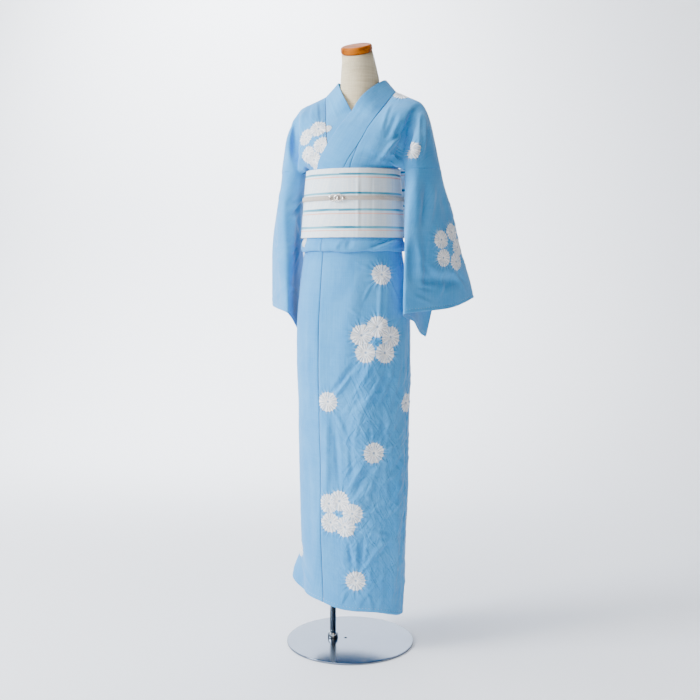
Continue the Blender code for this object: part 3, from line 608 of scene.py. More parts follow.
def cloth(name, grid, node, shade, closed=False, wall=WALL, creases=(), rosettes=(), seed=1,
          rough=0.0006, still=None, edge=0.0010, hem=0.0, crumpled=None):
    """Thin shell of cloth on a grid, with its creases, rosettes and flat-cloth coordinates."""
    rows, columns = grid.shape[:2]
    normals = normals_of(grid, closed).reshape(-1, 3)
    points = grid.reshape(-1, 3)
    frames = rosette_frames(points, normals, rosettes)
    height = crease_heights(points, normals, creases) + rosette_heights(points, frames, seed)
    height += ruffle(points, 0.055, rough, seed) + ruffle(points, 0.021, rough * 0.3, seed + 7)
    if still is not None:
        height *= still(points)
    height = height.reshape(rows, columns)
    around = np.concatenate([grid, grid[:, :1]], axis=1) if closed else grid
    widths = np.linalg.norm(np.diff(around, axis=1), axis=2)
    across = np.concatenate([np.zeros((rows, 1)), np.cumsum(widths, axis=1)], axis=1)
    rises = np.linalg.norm(np.diff(grid, axis=0), axis=2).mean(axis=1)
    up = np.concatenate([[0.0], np.cumsum(rises)])
    if crumpled is not None:
        worn = 0.0021 * (crumpled(points).reshape(rows, columns) - 0.12)
        height = height + crumples(across[:, :columns], up[:, None], worn, seed)
    if not closed and edge:
        gap = np.linalg.norm(np.diff(grid, axis=1), axis=2).mean()
        reach = np.minimum(np.arange(columns), np.arange(columns)[::-1]) * gap
        height = height - edge * np.exp(-(reach / 0.0022) ** 2)[None, :]
    if hem:
        height = height + 0.0006 * smooth(hem + 0.0015, hem - 0.0015, up)[:, None]
        height = height - 0.0007 * np.exp(-((up - hem) / 0.0018) ** 2)[:, None]
    moved = points + normals * height.reshape(-1, 1)

    index = np.arange(rows * columns).reshape(rows, columns)
    if closed:
        next_column = np.roll(index, -1, axis=1)
        quads = np.stack([index[:-1], next_column[:-1], next_column[1:], index[1:]], axis=-1)
    else:
        quads = np.stack([index[:-1, :-1], index[:-1, 1:], index[1:, 1:], index[1:, :-1]], axis=-1)
    quads = quads.reshape(-1, 4)
    mesh = bpy.data.meshes.new(name)
    mesh.from_pydata(moved.tolist(), [], quads.tolist())
    mesh.shade_smooth()

    row_of, column_of = quads // columns, quads % columns
    if closed:
        column_of[:, 1] = np.where(column_of[:, 1] == 0, columns, column_of[:, 1])
        column_of[:, 2] = np.where(column_of[:, 2] == 0, columns, column_of[:, 2])
    flat = np.stack([across[row_of, column_of], up[row_of]], axis=-1)
    layer = mesh.uv_layers.new(name="cloth")
    layer.data.foreach_set("uv", flat.astype(np.float32).ravel())

    local = np.full((len(quads), 4, 2), 9.0)
    kind = np.zeros((len(quads), 4, 2))
    middles = points[quads].mean(axis=1)
    worn = (np.full(len(quads), 0.15) if crumpled is None else crumpled(middles))[:, None]
    kind[:, :, 1] = worn
    if frames:
        best = np.full(len(quads), 9.0)
        for number, (middle, side, top, normal, radius) in enumerate(frames):
            away = np.linalg.norm(middles - middle, axis=1) / radius
            close = np.abs((middles - middle) @ normal) < 0.75 * radius
            mine = (away < best) & (away < 2.2) & close
            best = np.where(mine, away, best)
            rel = points[quads[mine]] - middle
            local[mine] = np.stack([rel @ side, rel @ top], axis=-1) / radius
            kind[mine, :, 0] = number * 0.37 + seed * 1.7
    layer = mesh.uv_layers.new(name="rosette")
    layer.data.foreach_set("uv", local.astype(np.float32).ravel())
    layer = mesh.uv_layers.new(name="kind")
    layer.data.foreach_set("uv", kind.astype(np.float32).ravel())

    mesh.materials.append(shade)
    piece = bpy.data.objects.new(name, mesh)
    bpy.context.scene.collection.objects.link(piece)
    skin = piece.modifiers.new("wall", "SOLIDIFY")
    skin.thickness = wall
    skin.offset = -1
    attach(piece, "root")
    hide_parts(node)
    return piece


STITCH_STEP, STITCH_HEIGHT = 0.008, 0.0086


def cotton_material():
    made, tree, shader = new_material("dyed_cotton", 0.88, Sheen_Weight=0.22, Sheen_Roughness=0.5,
                                      Specular_IOR_Level=0.25)
    flat = add_node(tree, "ShaderNodeUVMap", uv_map="cloth").outputs[0]
    spot = add_node(tree, "ShaderNodeUVMap", uv_map="rosette").outputs[0]
    kind = add_node(tree, "ShaderNodeUVMap", uv_map="kind").outputs[0]
    seed, worn = add_node(tree, "ShaderNodeSeparateXYZ", {0: kind}).outputs[:2]

    # Dye: slow clouds, and slubs along both threads
    cloud = speckle(tree, flat, 11.0, 4.0)
    warp = add_node(tree, "ShaderNodeMapping", {"Vector": flat, "Scale": (420.0, 9.0, 1.0)})
    weft = add_node(tree, "ShaderNodeMapping", {"Vector": flat, "Scale": (12.0, 380.0, 1.0)})
    long_slub = speckle(tree, warp.outputs[0], 1.0, 3.0)
    cross_slub = speckle(tree, weft.outputs[0], 1.0, 2.0)
    dye = calc(tree, "ADD", calc(tree, "MULTIPLY", cloud, 0.5),
               calc(tree, "ADD", calc(tree, "MULTIPLY", long_slub, 0.33),
                    calc(tree, "MULTIPLY", cross_slub, 0.17)))
    colour = mix(tree, ramp(tree, dye, 0.34, 0.66), linear("#318FD0"), linear("#49A0DD"))

    # Rosette: pleats round the middle, a scalloped rim and rays that run out of it
    parts = add_node(tree, "ShaderNodeSeparateXYZ", {0: spot}).outputs
    radius = add_node(tree, "ShaderNodeVectorMath", {0: spot}, operation="LENGTH").outputs["Value"]
    turn = calc(tree, "ARCTAN2", parts[1], parts[0])
    way = add_node(tree, "ShaderNodeVectorMath", {0: spot}, operation="NORMALIZE").outputs[0]
    shift = add_node(tree, "ShaderNodeCombineXYZ", {0: seed, 1: seed, 2: seed}).outputs[0]
    place = add_node(tree, "ShaderNodeVectorMath", {0: way, 1: shift}, operation="ADD").outputs[0]
    uneven = speckle(tree, place, 1.7, 2.0)
    pleat = calc(tree, "SINE", calc(tree, "MULTIPLY_ADD", turn, 18.0,
                                    calc(tree, "MULTIPLY", uneven, 15.0)))
    rim = calc(tree, "ADD", calc(tree, "MULTIPLY_ADD", pleat, 0.04, 0.88),
               calc(tree, "MULTIPLY", uneven, 0.26))
    inside = ramp(tree, calc(tree, "SUBTRACT", rim, radius), -0.07, 0.05)
    outside = calc(tree, "SUBTRACT", 1.0, inside)
    ray = calc(tree, "MULTIPLY", ramp(tree, pleat, -0.1, 1.0), ramp(tree, radius, 1.45, 0.95))
    colour = mix(tree, calc(tree, "MULTIPLY", calc(tree, "MULTIPLY", ray, outside), 0.30),
                 colour, linear("#D9EAF8"))
    colour = mix(tree, inside, colour, linear("#FDFEFF"))
    # Painted shade: the pleat grooves inside the rim are tinted blue-grey, more strongly away from
    # the middle
    painted_groove_shade = calc(tree, "MULTIPLY", ramp(tree, pleat, 0.25, -0.95), ramp(tree, radius, 0.12, 0.55))
    colour = mix(tree, calc(tree, "MULTIPLY", calc(tree, "MULTIPLY", painted_groove_shade, inside), 0.56),
                 colour, linear("#8FB2D4"))
    fleck_place = add_node(tree, "ShaderNodeVectorMath", {0: spot, 1: shift},
                           operation="ADD").outputs[0]
    fleck = speckle(tree, fleck_place, 7.0, 2.0)
    colour = mix(tree, calc(tree, "MULTIPLY", calc(tree, "MULTIPLY", ramp(tree, fleck, 0.56, 0.68),
                                                   inside), 0.30), colour, linear("#9C9AA2"))
    seep = speckle(tree, fleck_place, 2.6, 3.0)
    colour = mix(tree, calc(tree, "MULTIPLY", calc(tree, "MULTIPLY", ramp(tree, seep, 0.52, 0.68),
                                                   inside), 0.40), colour, linear("#7FB4DC"))
    colour = mix(tree, ramp(tree, radius, 0.19, 0.06, 0.0, 0.85), colour, linear("#6F94B8"))

    # Hem stitches: short threads at even steps, just inside the turned edge
    places = add_node(tree, "ShaderNodeSeparateXYZ", {0: flat}).outputs
    row = ramp(tree, calc(tree, "ABSOLUTE", calc(tree, "SUBTRACT", places[1], STITCH_HEIGHT)),
               0.0008, 0.0003)
    beat = calc(tree, "MULTIPLY", places[0], 2 * math.pi / STITCH_STEP)
    dash = ramp(tree, calc(tree, "SINE", beat), 0.45, 0.65)
    stitch = calc(tree, "MULTIPLY", row, dash)
    colour = mix(tree, calc(tree, "MULTIPLY", stitch, 0.3), colour, linear("#D6E8F6"))
    tree.links.new(colour, shader.inputs["Base Color"])

    # Relief, in millimetres: pleats, threads and fine rumpling
    swell = calc(tree, "MULTIPLY", ramp(tree, radius, 0.05, 0.7), ramp(tree, radius, 1.9, 0.95))
    relief = calc(tree, "MULTIPLY", calc(tree, "MULTIPLY", pleat, swell), 0.75)
    rumple = add_node(tree, "ShaderNodeTexNoise", {"Vector": flat, "Scale": 46.0, "Detail": 3.0,
                                                   "Distortion": 0.8}).outputs["Fac"]
    relief = calc(tree, "MULTIPLY_ADD", rumple, 0.55, relief)
    relief = calc(tree, "MULTIPLY_ADD", long_slub, 0.16, relief)
    relief = calc(tree, "MULTIPLY_ADD", stitch, -0.5, relief)
    for lean, size, amount in ((53, (0.100, 0.026, 1.0), 1.3), (-64, (0.070, 0.022, 1.0), 0.9)):
        slant = add_node(tree, "ShaderNodeMapping", {"Vector": flat, "Scale": size,
                                                     "Rotation": (0.0, 0.0, math.radians(lean))},
                         vector_type="TEXTURE").outputs[0]
        fold = add_node(tree, "ShaderNodeTexNoise", {"Vector": slant, "Scale": 1.0, "Detail": 2.5,
                                                     "Distortion": 0.7}).outputs["Fac"]
        ridge = calc(tree, "ABSOLUTE", calc(tree, "SUBTRACT", fold, 0.5))
        ridge = ramp(tree, ridge, 0.0, 0.16)
        relief = calc(tree, "MULTIPLY_ADD", calc(tree, "MULTIPLY", ridge, worn), -amount, relief)
    relief = calc(tree, "MULTIPLY_ADD", cross_slub, 0.10, relief)
    emboss(tree, shader, relief, 1.0, 0.001)
    return made


COTTON = cotton_material()
SKIRT_ROSETTES = [
    Rosette(0.106, -0.071, 0.943, 0.0235),
    Rosette(0.100, -0.085, 0.819, 0.0245),
    Rosette(0.066, -0.097, 0.799, 0.0245),
    Rosette(0.127, -0.062, 0.794, 0.0245),
    Rosette(0.073, -0.095, 0.757, 0.0235),
    Rosette(0.116, -0.073, 0.756, 0.0240),
    Rosette(-0.018, -0.105, 0.635, 0.0235),
    Rosette(0.092, -0.083, 0.511, 0.0240),
    Rosette(-0.020, -0.100, 0.381, 0.0235),
    Rosette(0.009, -0.101, 0.390, 0.0245),
    Rosette(0.041, -0.101, 0.360, 0.0240),
    Rosette(-0.016, -0.099, 0.334, 0.0235),
    Rosette(0.024, -0.101, 0.327, 0.0245),
    Rosette(0.049, -0.092, 0.192, 0.0235),
    Rosette(0.150, -0.006, 0.627, 0.0230),
    Rosette(-0.123, -0.029, 0.239, 0.0200),
]
SKIRT_CREASES = [
    Crease((0.106, -0.075, 0.914), (0.104, -0.082, 0.840), 0.0054, 0.0027, 0.000),
    Crease((0.086, -0.083, 0.924), (0.065, -0.095, 0.878), 0.0036, 0.0015, 0.000),
    Crease((0.126, -0.056, 0.921), (0.140, -0.037, 0.877), 0.0036, 0.0015, 0.000),
    Crease((0.083, -0.082, 0.955), (0.045, -0.094, 0.974), 0.0036, 0.0012, 0.000),
    Crease((0.126, -0.049, 0.955), (0.137, -0.004, 0.974), 0.0036, 0.0012, 0.000),
    Crease((0.052, -0.100, 0.734), (-0.008, -0.106, 0.657), 0.0063, -0.0042, 0.003),
    Crease((0.042, -0.103, 0.714), (-0.003, -0.106, 0.647), 0.0045, 0.0033, 0.003),
    Crease((0.090, -0.093, 0.735), (0.042, -0.102, 0.646), 0.0054, 0.0027, 0.004),
    Crease((0.114, -0.073, 0.724), (0.058, -0.101, 0.608), 0.0063, 0.0033, 0.005),
    Crease((0.134, -0.056, 0.733), (0.085, -0.092, 0.603), 0.0063, 0.0030, 0.006),
    Crease((0.146, -0.037, 0.746), (0.125, -0.060, 0.625), 0.0054, 0.0027, 0.004),
    Crease((0.149, -0.023, 0.661), (0.129, -0.055, 0.590), 0.0045, 0.0024, 0.000),
    Crease((0.140, -0.042, 0.633), (0.105, -0.076, 0.543), 0.0045, 0.0024, 0.003),
    Crease((0.148, -0.018, 0.571), (0.123, -0.061, 0.512), 0.0045, 0.0024, 0.000),
    Crease((0.148, -0.025, 0.522), (0.117, -0.065, 0.458), 0.0054, 0.0024, 0.000),
    Crease((0.061, -0.098, 0.845), (0.028, -0.105, 0.869), 0.0036, 0.0015, 0.000),
    Crease((0.043, -0.104, 0.802), (-0.003, -0.104, 0.820), 0.0036, 0.0015, 0.000),
    Crease((0.136, -0.049, 0.824), (0.147, -0.025, 0.862), 0.0036, 0.0015, 0.000),
    Crease((-0.004, -0.104, 0.615), (0.027, -0.102, 0.543), 0.0054, 0.0023, 0.003),
    Crease((-0.022, -0.105, 0.599), (-0.024, -0.100, 0.400), 0.0072, 0.0030, 0.000),
    Crease((-0.004, -0.104, 0.575), (0.006, -0.101, 0.412), 0.0072, -0.0039, 0.003),
    Crease((0.029, -0.102, 0.553), (0.029, -0.101, 0.424), 0.0063, 0.0027, 0.002),
    Crease((0.071, -0.095, 0.490), (0.026, -0.101, 0.406), 0.0054, 0.0036, 0.002),
    Crease((0.084, -0.087, 0.480), (0.045, -0.101, 0.390), 0.0081, -0.0048, -0.004),
    Crease((0.107, -0.073, 0.483), (0.074, -0.089, 0.380), 0.0063, 0.0030, -0.006),
    Crease((0.115, -0.068, 0.493), (0.119, -0.061, 0.392), 0.0054, 0.0021, 0.000),
    Crease((0.090, -0.085, 0.541), (0.089, -0.088, 0.583), 0.0036, 0.0015, 0.000),
    Crease((0.105, -0.076, 0.536), (0.122, -0.064, 0.574), 0.0036, 0.0015, 0.000),
    Crease((0.114, -0.070, 0.518), (0.148, -0.023, 0.542), 0.0036, 0.0018, 0.000),
    Crease((0.069, -0.097, 0.527), (0.037, -0.102, 0.553), 0.0036, 0.0015, 0.000),
    Crease((0.149, -0.011, 0.497), (0.121, -0.061, 0.442), 0.0054, 0.0027, 0.002),
    Crease((0.148, -0.014, 0.450), (0.117, -0.062, 0.375), 0.0054, 0.0027, 0.002),
    Crease((0.146, -0.016, 0.400), (0.100, -0.074, 0.339), 0.0054, 0.0027, 0.003),
    Crease((0.065, -0.092, 0.350), (0.133, -0.049, 0.396), 0.0054, 0.0024, 0.003),
    Crease((0.064, -0.091, 0.322), (0.125, -0.054, 0.299), 0.0045, 0.0018, 0.002),
    Crease((0.123, -0.056, 0.301), (0.068, -0.087, 0.221), 0.0054, 0.0030, -0.003),
    Crease((0.032, -0.101, 0.294), (0.042, -0.095, 0.218), 0.0054, -0.0036, 0.000),
    Crease((0.050, -0.095, 0.295), (0.052, -0.092, 0.224), 0.0045, 0.0030, 0.000),
    Crease((0.067, -0.090, 0.305), (0.061, -0.089, 0.226), 0.0045, -0.0024, 0.000),
    Crease((0.140, -0.037, 0.293), (0.127, -0.044, 0.131), 0.0063, 0.0021, 0.003),
    Crease((0.112, -0.064, 0.242), (0.103, -0.066, 0.128), 0.0063, 0.0018, 0.000),
    Crease((0.073, -0.085, 0.168), (0.088, -0.076, 0.119), 0.0045, 0.0018, 0.000),
    Crease((0.025, -0.097, 0.166), (0.009, -0.097, 0.122), 0.0045, 0.0015, 0.000),
    Crease((-0.077, -0.082, 0.891), (-0.076, -0.083, 0.573), 0.0099, 0.0015, 0.000),
    Crease((-0.090, -0.075, 0.531), (-0.076, -0.078, 0.226), 0.0108, -0.0016, 0.004),
    Crease((-0.123, -0.033, 0.209), (-0.058, -0.084, 0.148), 0.0072, 0.0018, 0.000),
    Crease((-0.031, -0.092, 0.993), (0.133, -0.006, 0.993), 0.0036, -0.0015, 0.000),
]


# Places of the rosettes behind, as angle from the front and height
HIDDEN_BLOSSOMS = [(150, 0.62), (226, 0.82), (204, 0.31)]
HIDDEN_ROSETTES = [(116, 0.87), (110, 0.33), (176, 0.88), (172, 0.44), (241, 0.54), (252, 0.27)]


def blossom(angle, z):
    """Five rosettes round a blue middle."""
    made = []
    for k in range(5):
        turn = 2 * math.pi * (k + 0.25) / 5
        reach = math.degrees(0.031 * math.cos(turn) / 0.125)
        place = skirt_point(np.array(angle + reach), np.array(z + 0.034 * math.sin(turn)))
        made.append(Rosette(*place, 0.0235))
    return made


def rumpled(count, first, last, low, high, length, seed):
    """Short uneven creases, mostly slanting, spread over part of the skirt."""
    rng = np.random.default_rng(seed)
    made = []
    for _ in range(count):
        angle, z = rng.uniform(first, last), rng.uniform(low, high)
        lean, drop = rng.uniform(-16, 5), length * rng.uniform(0.5, 1.5)
        start = skirt_point(np.array(angle), np.array(z))
        end = skirt_point(np.array(angle + lean), np.array(max(z - drop, 0.11)))
        height = rng.choice((-1, 1, 1)) * rng.uniform(0.0009, 0.0020)
        made.append(Crease(tuple(start), tuple(end), rng.uniform(0.0035, 0.0065), height,
                           rng.uniform(-0.004, 0.004)))
    return made


def below_tuck(points):
    """The skirt lies still under the tuck fold and belt."""
    return smooth(0.998, 0.965, points[:, 2])


def skirt_wear(points):
    """How crumpled the skirt is: most on its right front, below the first blossom."""
    low = smooth(0.78, 0.66, points[:, 2]) * smooth(0.05, 0.22, points[:, 2])
    right = smooth(-0.02, 0.07, points[:, 0])
    return 0.12 + 0.75 * low * right + 0.12 * low


def skirt():
    heights_above = np.array([0.950, 0.975, 1.000, 1.035, 1.078, 1.120])
    creases = SKIRT_CREASES + rumpled(30, 44, 86, 0.18, 0.82, 0.10, 5)
    creases += rumpled(70, 90, 262, 0.15, 0.95, 0.15, 6)
    rosettes = list(SKIRT_ROSETTES)
    for angle, z in HIDDEN_BLOSSOMS:
        rosettes += blossom(angle, z)
    for angle, z in HIDDEN_ROSETTES:
        rosettes.append(Rosette(*skirt_point(np.array(float(angle)), np.array(z)), 0.0235))
    for number, panel in enumerate(PANELS):
        angles = panel_angles(panel, 44 if panel.step < 0.006 else 22)
        hem = read(HEM, angles, "z")
        rows = []
        for share in np.linspace(0, 1, 37)[:-1]:
            rows.append(skirt_point(angles, hem + (heights_above[0] - hem) * share))
        for z in heights_above:
            rows.append(skirt_point(angles, np.full(len(angles), z)))
        grid = fine(rows, panel.step)
        node = "skirt_" + panel.name
        piece = cloth(node + "_cloth", grid, node, COTTON,
                      creases=creases if number < 4 else (), rosettes=rosettes,
                      seed=3, still=below_tuck, hem=0.010, crumpled=skirt_wear)


skirt()


# Tuck fold below the belt: the spare length of the robe, folded up under the belt.
# The same cotton as the skirt, doubled, with a rounded lower edge.
TuckPoint = namedtuple("TuckPoint", "z proud")
TUCK = [
    TuckPoint(1.0450, 0.0010),
    TuckPoint(1.0120, 0.0016),
    TuckPoint(1.0020, 0.0032),
    TuckPoint(0.9990, 0.0054),
    TuckPoint(1.0020, 0.0076),
    TuckPoint(1.0110, 0.0088),
    TuckPoint(1.0220, 0.0078),
    TuckPoint(1.0310, 0.0044),
    TuckPoint(1.0620, 0.0044),
]
TUCK_CREASES = [
    Crease((0.134, -0.028, 1.027), (0.087, -0.084, 1.002), 0.0045, 0.0056, 0.000),
    Crease((0.040, -0.097, 1.026), (0.027, -0.103, 1.005), 0.0070, -0.0016, 0.000),
    Crease((-0.029, -0.095, 1.030), (-0.037, -0.098, 1.009), 0.0013, -0.0024, 0.000),
    Crease((0.122, -0.046, 1.012), (0.140, 0.010, 1.020), 0.0050, -0.0026, 0.000),
    Crease((0.120, -0.049, 1.029), (0.073, -0.090, 1.005), 0.0040, -0.0024, 0.000),
    Crease((0.016, -0.101, 1.026), (-0.000, -0.104, 1.005), 0.0050, 0.0015, 0.000),
    Crease((-0.094, -0.060, 1.033), (-0.104, -0.056, 1.006), 0.0030, 0.0014, 0.000),
]
TUCK_ROSETTES = [
    Rosette(-0.100, -0.058, 1.023, 0.0120),
]


def on_show(points):
    """Only the outer face of the tuck below the belt is uneven."""
    return smooth(1.034, 1.026, points[:, 2])


def tuck():
    for panel in PANELS[:4]:
        last = min(panel.end, PANELS[0].start + 360 - 0.5)
        angles = panel_angles(panel._replace(end=last), 36)
        turn = np.radians(angles)
        sway = 0.0014 * np.sin(5.0 * turn + 0.6) + 0.0009 * np.sin(11.0 * turn)
        rows = [skirt_point(angles, point.z - sway * float(smooth(1.030, 1.004, point.z)),
                            point.proud) for point in TUCK]
        grid = fine(rows, 0.0024 if panel.step < 0.004 else 0.0036)
        piece = cloth("tuck_" + panel.name + "_cloth", grid, "tuck_" + panel.name, COTTON,
                      creases=TUCK_CREASES, rosettes=TUCK_ROSETTES, seed=5, rough=0.0013,
                      still=on_show)


tuck()


# Robe above the belt: front gores, body panels over the shoulders, and the collar band.
# Cotton panels joined by plain seams; the collar is a folded band, left side over right.
ChestLevel = namedtuple("ChestLevel", "z half_width front back middle")
CHEST = [
    ChestLevel(1.0330, 0.1283, -0.0998, 0.0998, 0.000),
    ChestLevel(1.1150, 0.1208, -0.0963, 0.0963, 0.000),
    ChestLevel(1.1900, 0.1137, -0.0933, 0.0933, 0.000),
    ChestLevel(1.2030, 0.1135, -0.0933, 0.0933, 0.000),
    ChestLevel(1.2120, 0.1270, -0.0945, 0.0980, 0.000),
    ChestLevel(1.2240, 0.1370, -0.0925, 0.1030, 0.004),
    ChestLevel(1.2500, 0.1480, -0.0810, 0.1090, 0.012),
    ChestLevel(1.3000, 0.1620, -0.0500, 0.1180, 0.030),
    ChestLevel(1.3460, 0.1750, -0.0100, 0.1300, 0.050),
    ChestLevel(1.4300, 0.1750, 0.0500, 0.1450, 0.070),
]
NeckStation = namedtuple("NeckStation", "seam_x seam_y seam_z edge_x edge_y edge_z")
NECK = [
    NeckStation(-0.0350, -0.0900, 1.110, -0.0950, -0.0550, 1.137),
    NeckStation(0.0120, -0.1000, 1.203, -0.0520, -0.0780, 1.232),
    NeckStation(0.0400, -0.0790, 1.255, -0.0274, -0.0450, 1.286),
    NeckStation(0.0560, -0.0430, 1.300, -0.0077, -0.0190, 1.329),
    NeckStation(0.0733, 0.0020, 1.345, 0.0250, -0.0040, 1.381),
    NeckStation(0.0917, 0.0550, 1.393, 0.0600, 0.0560, 1.425),
    NeckStation(0.0800, 0.1000, 1.386, 0.0560, 0.1050, 1.420),
    NeckStation(0.0440, 0.1260, 1.370, 0.0340, 0.1350, 1.408),
    NeckStation(0.0000, 0.1340, 1.360, 0.0000, 0.1460, 1.400),
]
APEX = 2.0
COLLAR_ROWS = [0, 0.3, 0.6, 0.68, 0.75, 0.83, 0.89, 0.95, 1.02, 1.1, 1.2, 1.35, 1.55, 1.75]
COLLAR_ROWS += [2 + i / 3 for i in range(12)] + [6, 6.5, 7, 7.5, 8.0]
SeamPoint = namedtuple("SeamPoint", "z x")
GORE_SEAM = [
    SeamPoint(1.033, -0.0450),
    SeamPoint(1.130, 0.0010),
    SeamPoint(1.203, 0.0266),
    SeamPoint(1.255, 0.0410),
]
Spot = namedtuple("Spot", "x y z")
Drape = namedtuple("Drape", "chest side valley crest")
DRAPE = [
    Drape(Spot(0.082, -0.0760, 1.238), Spot(0.120, -0.0510, 1.228),
          Spot(0.134, -0.0300, 1.217), Spot(0.1370, -0.0200, 1.208)),
    Drape(Spot(0.092, -0.0460, 1.292), Spot(0.134, -0.0300, 1.270),
          Spot(0.135, 0.0000, 1.255), Spot(0.1580, -0.0260, 1.240)),
    Drape(Spot(0.104, -0.0140, 1.338), Spot(0.140, -0.0080, 1.330),
          Spot(0.148, 0.0080, 1.322), Spot(0.1760, 0.0020, 1.302)),
    Drape(Spot(0.120, 0.0530, 1.381), Spot(0.146, 0.0510, 1.370),
          Spot(0.164, 0.0500, 1.357), Spot(0.1820, 0.0510, 1.318)),
    Drape(Spot(0.110, 0.0980, 1.366), Spot(0.136, 0.0920, 1.352),
          Spot(0.156, 0.0870, 1.335), Spot(0.1770, 0.0840, 1.288)),
    Drape(Spot(0.086, 0.1200, 1.328), Spot(0.118, 0.1060, 1.300),
          Spot(0.137, 0.0840, 1.272), Spot(0.1540, 0.0800, 1.238)),
    Drape(Spot(0.066, 0.1160, 1.272), Spot(0.102, 0.0930, 1.244),
          Spot(0.122, 0.0680, 1.226), Spot(0.1310, 0.0500, 1.214)),
]
SleeveLevel = namedtuple("SleeveLevel", "z inner fold front top back tip")
SLEEVE = [
    SleeveLevel(1.200, (0.137, -0.012), (0.168, -0.022), (0.196, 0.008),
                (0.2096, 0.054), (0.184, 0.086), (0.144, 0.046)),
    SleeveLevel(1.100, (0.144, -0.004), (0.163, -0.054), (0.208, 0.002),
                (0.2330, 0.075), (0.208, 0.102), (0.166, 0.074)),
    SleeveLevel(1.000, (0.149, 0.002), (0.157, -0.061), (0.225, 0.014),
                (0.2540, 0.094), (0.222, 0.118), (0.168, 0.081)),
    SleeveLevel(0.900, (0.153, 0.006), (0.155, -0.062), (0.234, 0.032),
                (0.2740, 0.134), (0.230, 0.138), (0.168, 0.084)),
    SleeveLevel(0.780, (0.156, 0.010), (0.153, -0.060), (0.238, 0.046),
                (0.2860, 0.170), (0.234, 0.156), (0.167, 0.084)),
]
HangPoint = namedtuple("HangPoint", "place z")
SLEEVE_BOTTOM_LEFT = [
    HangPoint(0, 0.828),
    HangPoint(1, 0.850),
    HangPoint(2, 0.860),
    HangPoint(3, 0.884),
    HangPoint(4, 0.874),
    HangPoint(4.75, 0.866),
    HangPoint(5, 0.788),
    HangPoint(6, 0.828),
]
SLEEVE_BOTTOM_RIGHT = [
    HangPoint(0, 0.802),
    HangPoint(1, 0.848),
    HangPoint(2, 0.860),
    HangPoint(3, 0.884),
    HangPoint(4, 0.872),
    HangPoint(5, 0.780),
    HangPoint(6, 0.802),
]
ARMHOLE_Z = 1.200
UNDERARM_LIFT = 0.0005
CHEST_ROSETTES = [
    Rosette(-0.068, -0.042, 1.301, 0.0215),
    Rosette(-0.098, -0.045, 1.280, 0.0205),
    Rosette(-0.049, -0.068, 1.259, 0.0215),
    Rosette(-0.088, -0.068, 1.236, 0.0205),
    Rosette(-0.066, -0.074, 1.222, 0.0200),
    Rosette(0.118, 0.051, 1.384, 0.0185),
    Rosette(0.164, -0.025, 1.240, 0.0185),
    Rosette(-0.030, 0.119, 1.301, 0.0200),
    Rosette(-0.060, 0.123, 1.324, 0.0200),
    Rosette(-0.089, 0.116, 1.302, 0.0200),
    Rosette(-0.079, 0.110, 1.266, 0.0200),
    Rosette(-0.042, 0.108, 1.266, 0.0200),
    Rosette(0.085, 0.122, 1.335, 0.0200),
    Rosette(0.105, 0.084, 1.235, 0.0195),
]
CHEST_CREASES = [
    Crease((0.159, 0.001, 1.297), (0.157, -0.023, 1.204), 0.0085, -0.0095, 0.000),
    Crease((0.172, 0.018, 1.332), (0.174, -0.023, 1.206), 0.0060, 0.0036, 0.000),
    Crease((0.145, -0.011, 1.260), (0.108, -0.045, 1.203), 0.0060, -0.0034, 0.000),
    Crease((0.184, 0.018, 1.322), (0.203, 0.009, 1.220), 0.0120, -0.0020, 0.000),
    Crease((0.102, 0.012, 1.358), (0.096, -0.054, 1.279), 0.0045, 0.0026, 0.002),
    Crease((0.126, -0.014, 1.334), (0.107, -0.057, 1.259), 0.0054, -0.0032, 0.002),
    Crease((0.140, -0.019, 1.319), (0.121, -0.047, 1.264), 0.0045, 0.0022, 0.000),
    Crease((0.146, -0.026, 1.278), (0.090, -0.066, 1.205), 0.0055, 0.0082, -0.003),
    Crease((0.158, 0.014, 1.337), (0.136, -0.039, 1.250), 0.0090, -0.0058, 0.000),
    Crease((0.154, -0.016, 1.243), (0.110, -0.049, 1.208), 0.0081, -0.0060, 0.000),
    Crease((-0.106, 0.045, 1.379), (-0.073, -0.030, 1.318), 0.0036, 0.0019, 0.000),
    Crease((-0.119, 0.037, 1.371), (-0.095, -0.036, 1.304), 0.0054, -0.0019, 0.000),
    Crease((-0.128, 0.019, 1.357), (-0.116, -0.029, 1.301), 0.0054, 0.0019, 0.000),
    Crease((0.180, 0.034, 1.338), (0.185, -0.016, 1.218), 0.0054, 0.0029, 0.000),
    Crease((-0.160, 0.016, 1.328), (-0.141, -0.023, 1.228), 0.0085, -0.0085, 0.000),
]


def along(points, t, closed=False):
    """Point at index t on a smooth curve through the points."""
    count = len(points)
    i = int(math.floor(t))
    if not closed:
        i = min(max(i, 0), count - 2)
    f = t - i

    def at(k):
        return points[k % count] if closed else points[min(max(k, 0), count - 1)]

    before, start, end, after = at(i - 1), at(i), at(i + 1), at(i + 2)
    return 0.5 * ((2 * start) + (end - before) * f
                  + (2 * before - 5 * start + 4 * end - after) * f * f
                  + (3 * start - before - 3 * end + after) * f ** 3)


def mirrored(rows):
    """The same rows on the wearer's right, turned to face outwards again."""
    return [[Vector((2 * CENTRE_X - p[0], p[1], p[2])) for p in reversed(row)] for row in rows]


def chest_point(x, z, under=0.0, back=False):
    """Point on the chest at x off the centre line; under is how far below the outer layer."""
    half = float(read(CHEST, z, "half_width"))
    middle = float(read(CHEST, z, "middle"))
    face = float(read(CHEST, z, "back" if back else "front"))
    share = max(-0.99999, min(0.99999, x / half))
    depth = math.sqrt(1 - share * share)
    reach = abs(face - middle) - under
    ahead = reach if back else -reach
    return Vector((CENTRE_X + share * (half - under), middle + ahead * depth, z))


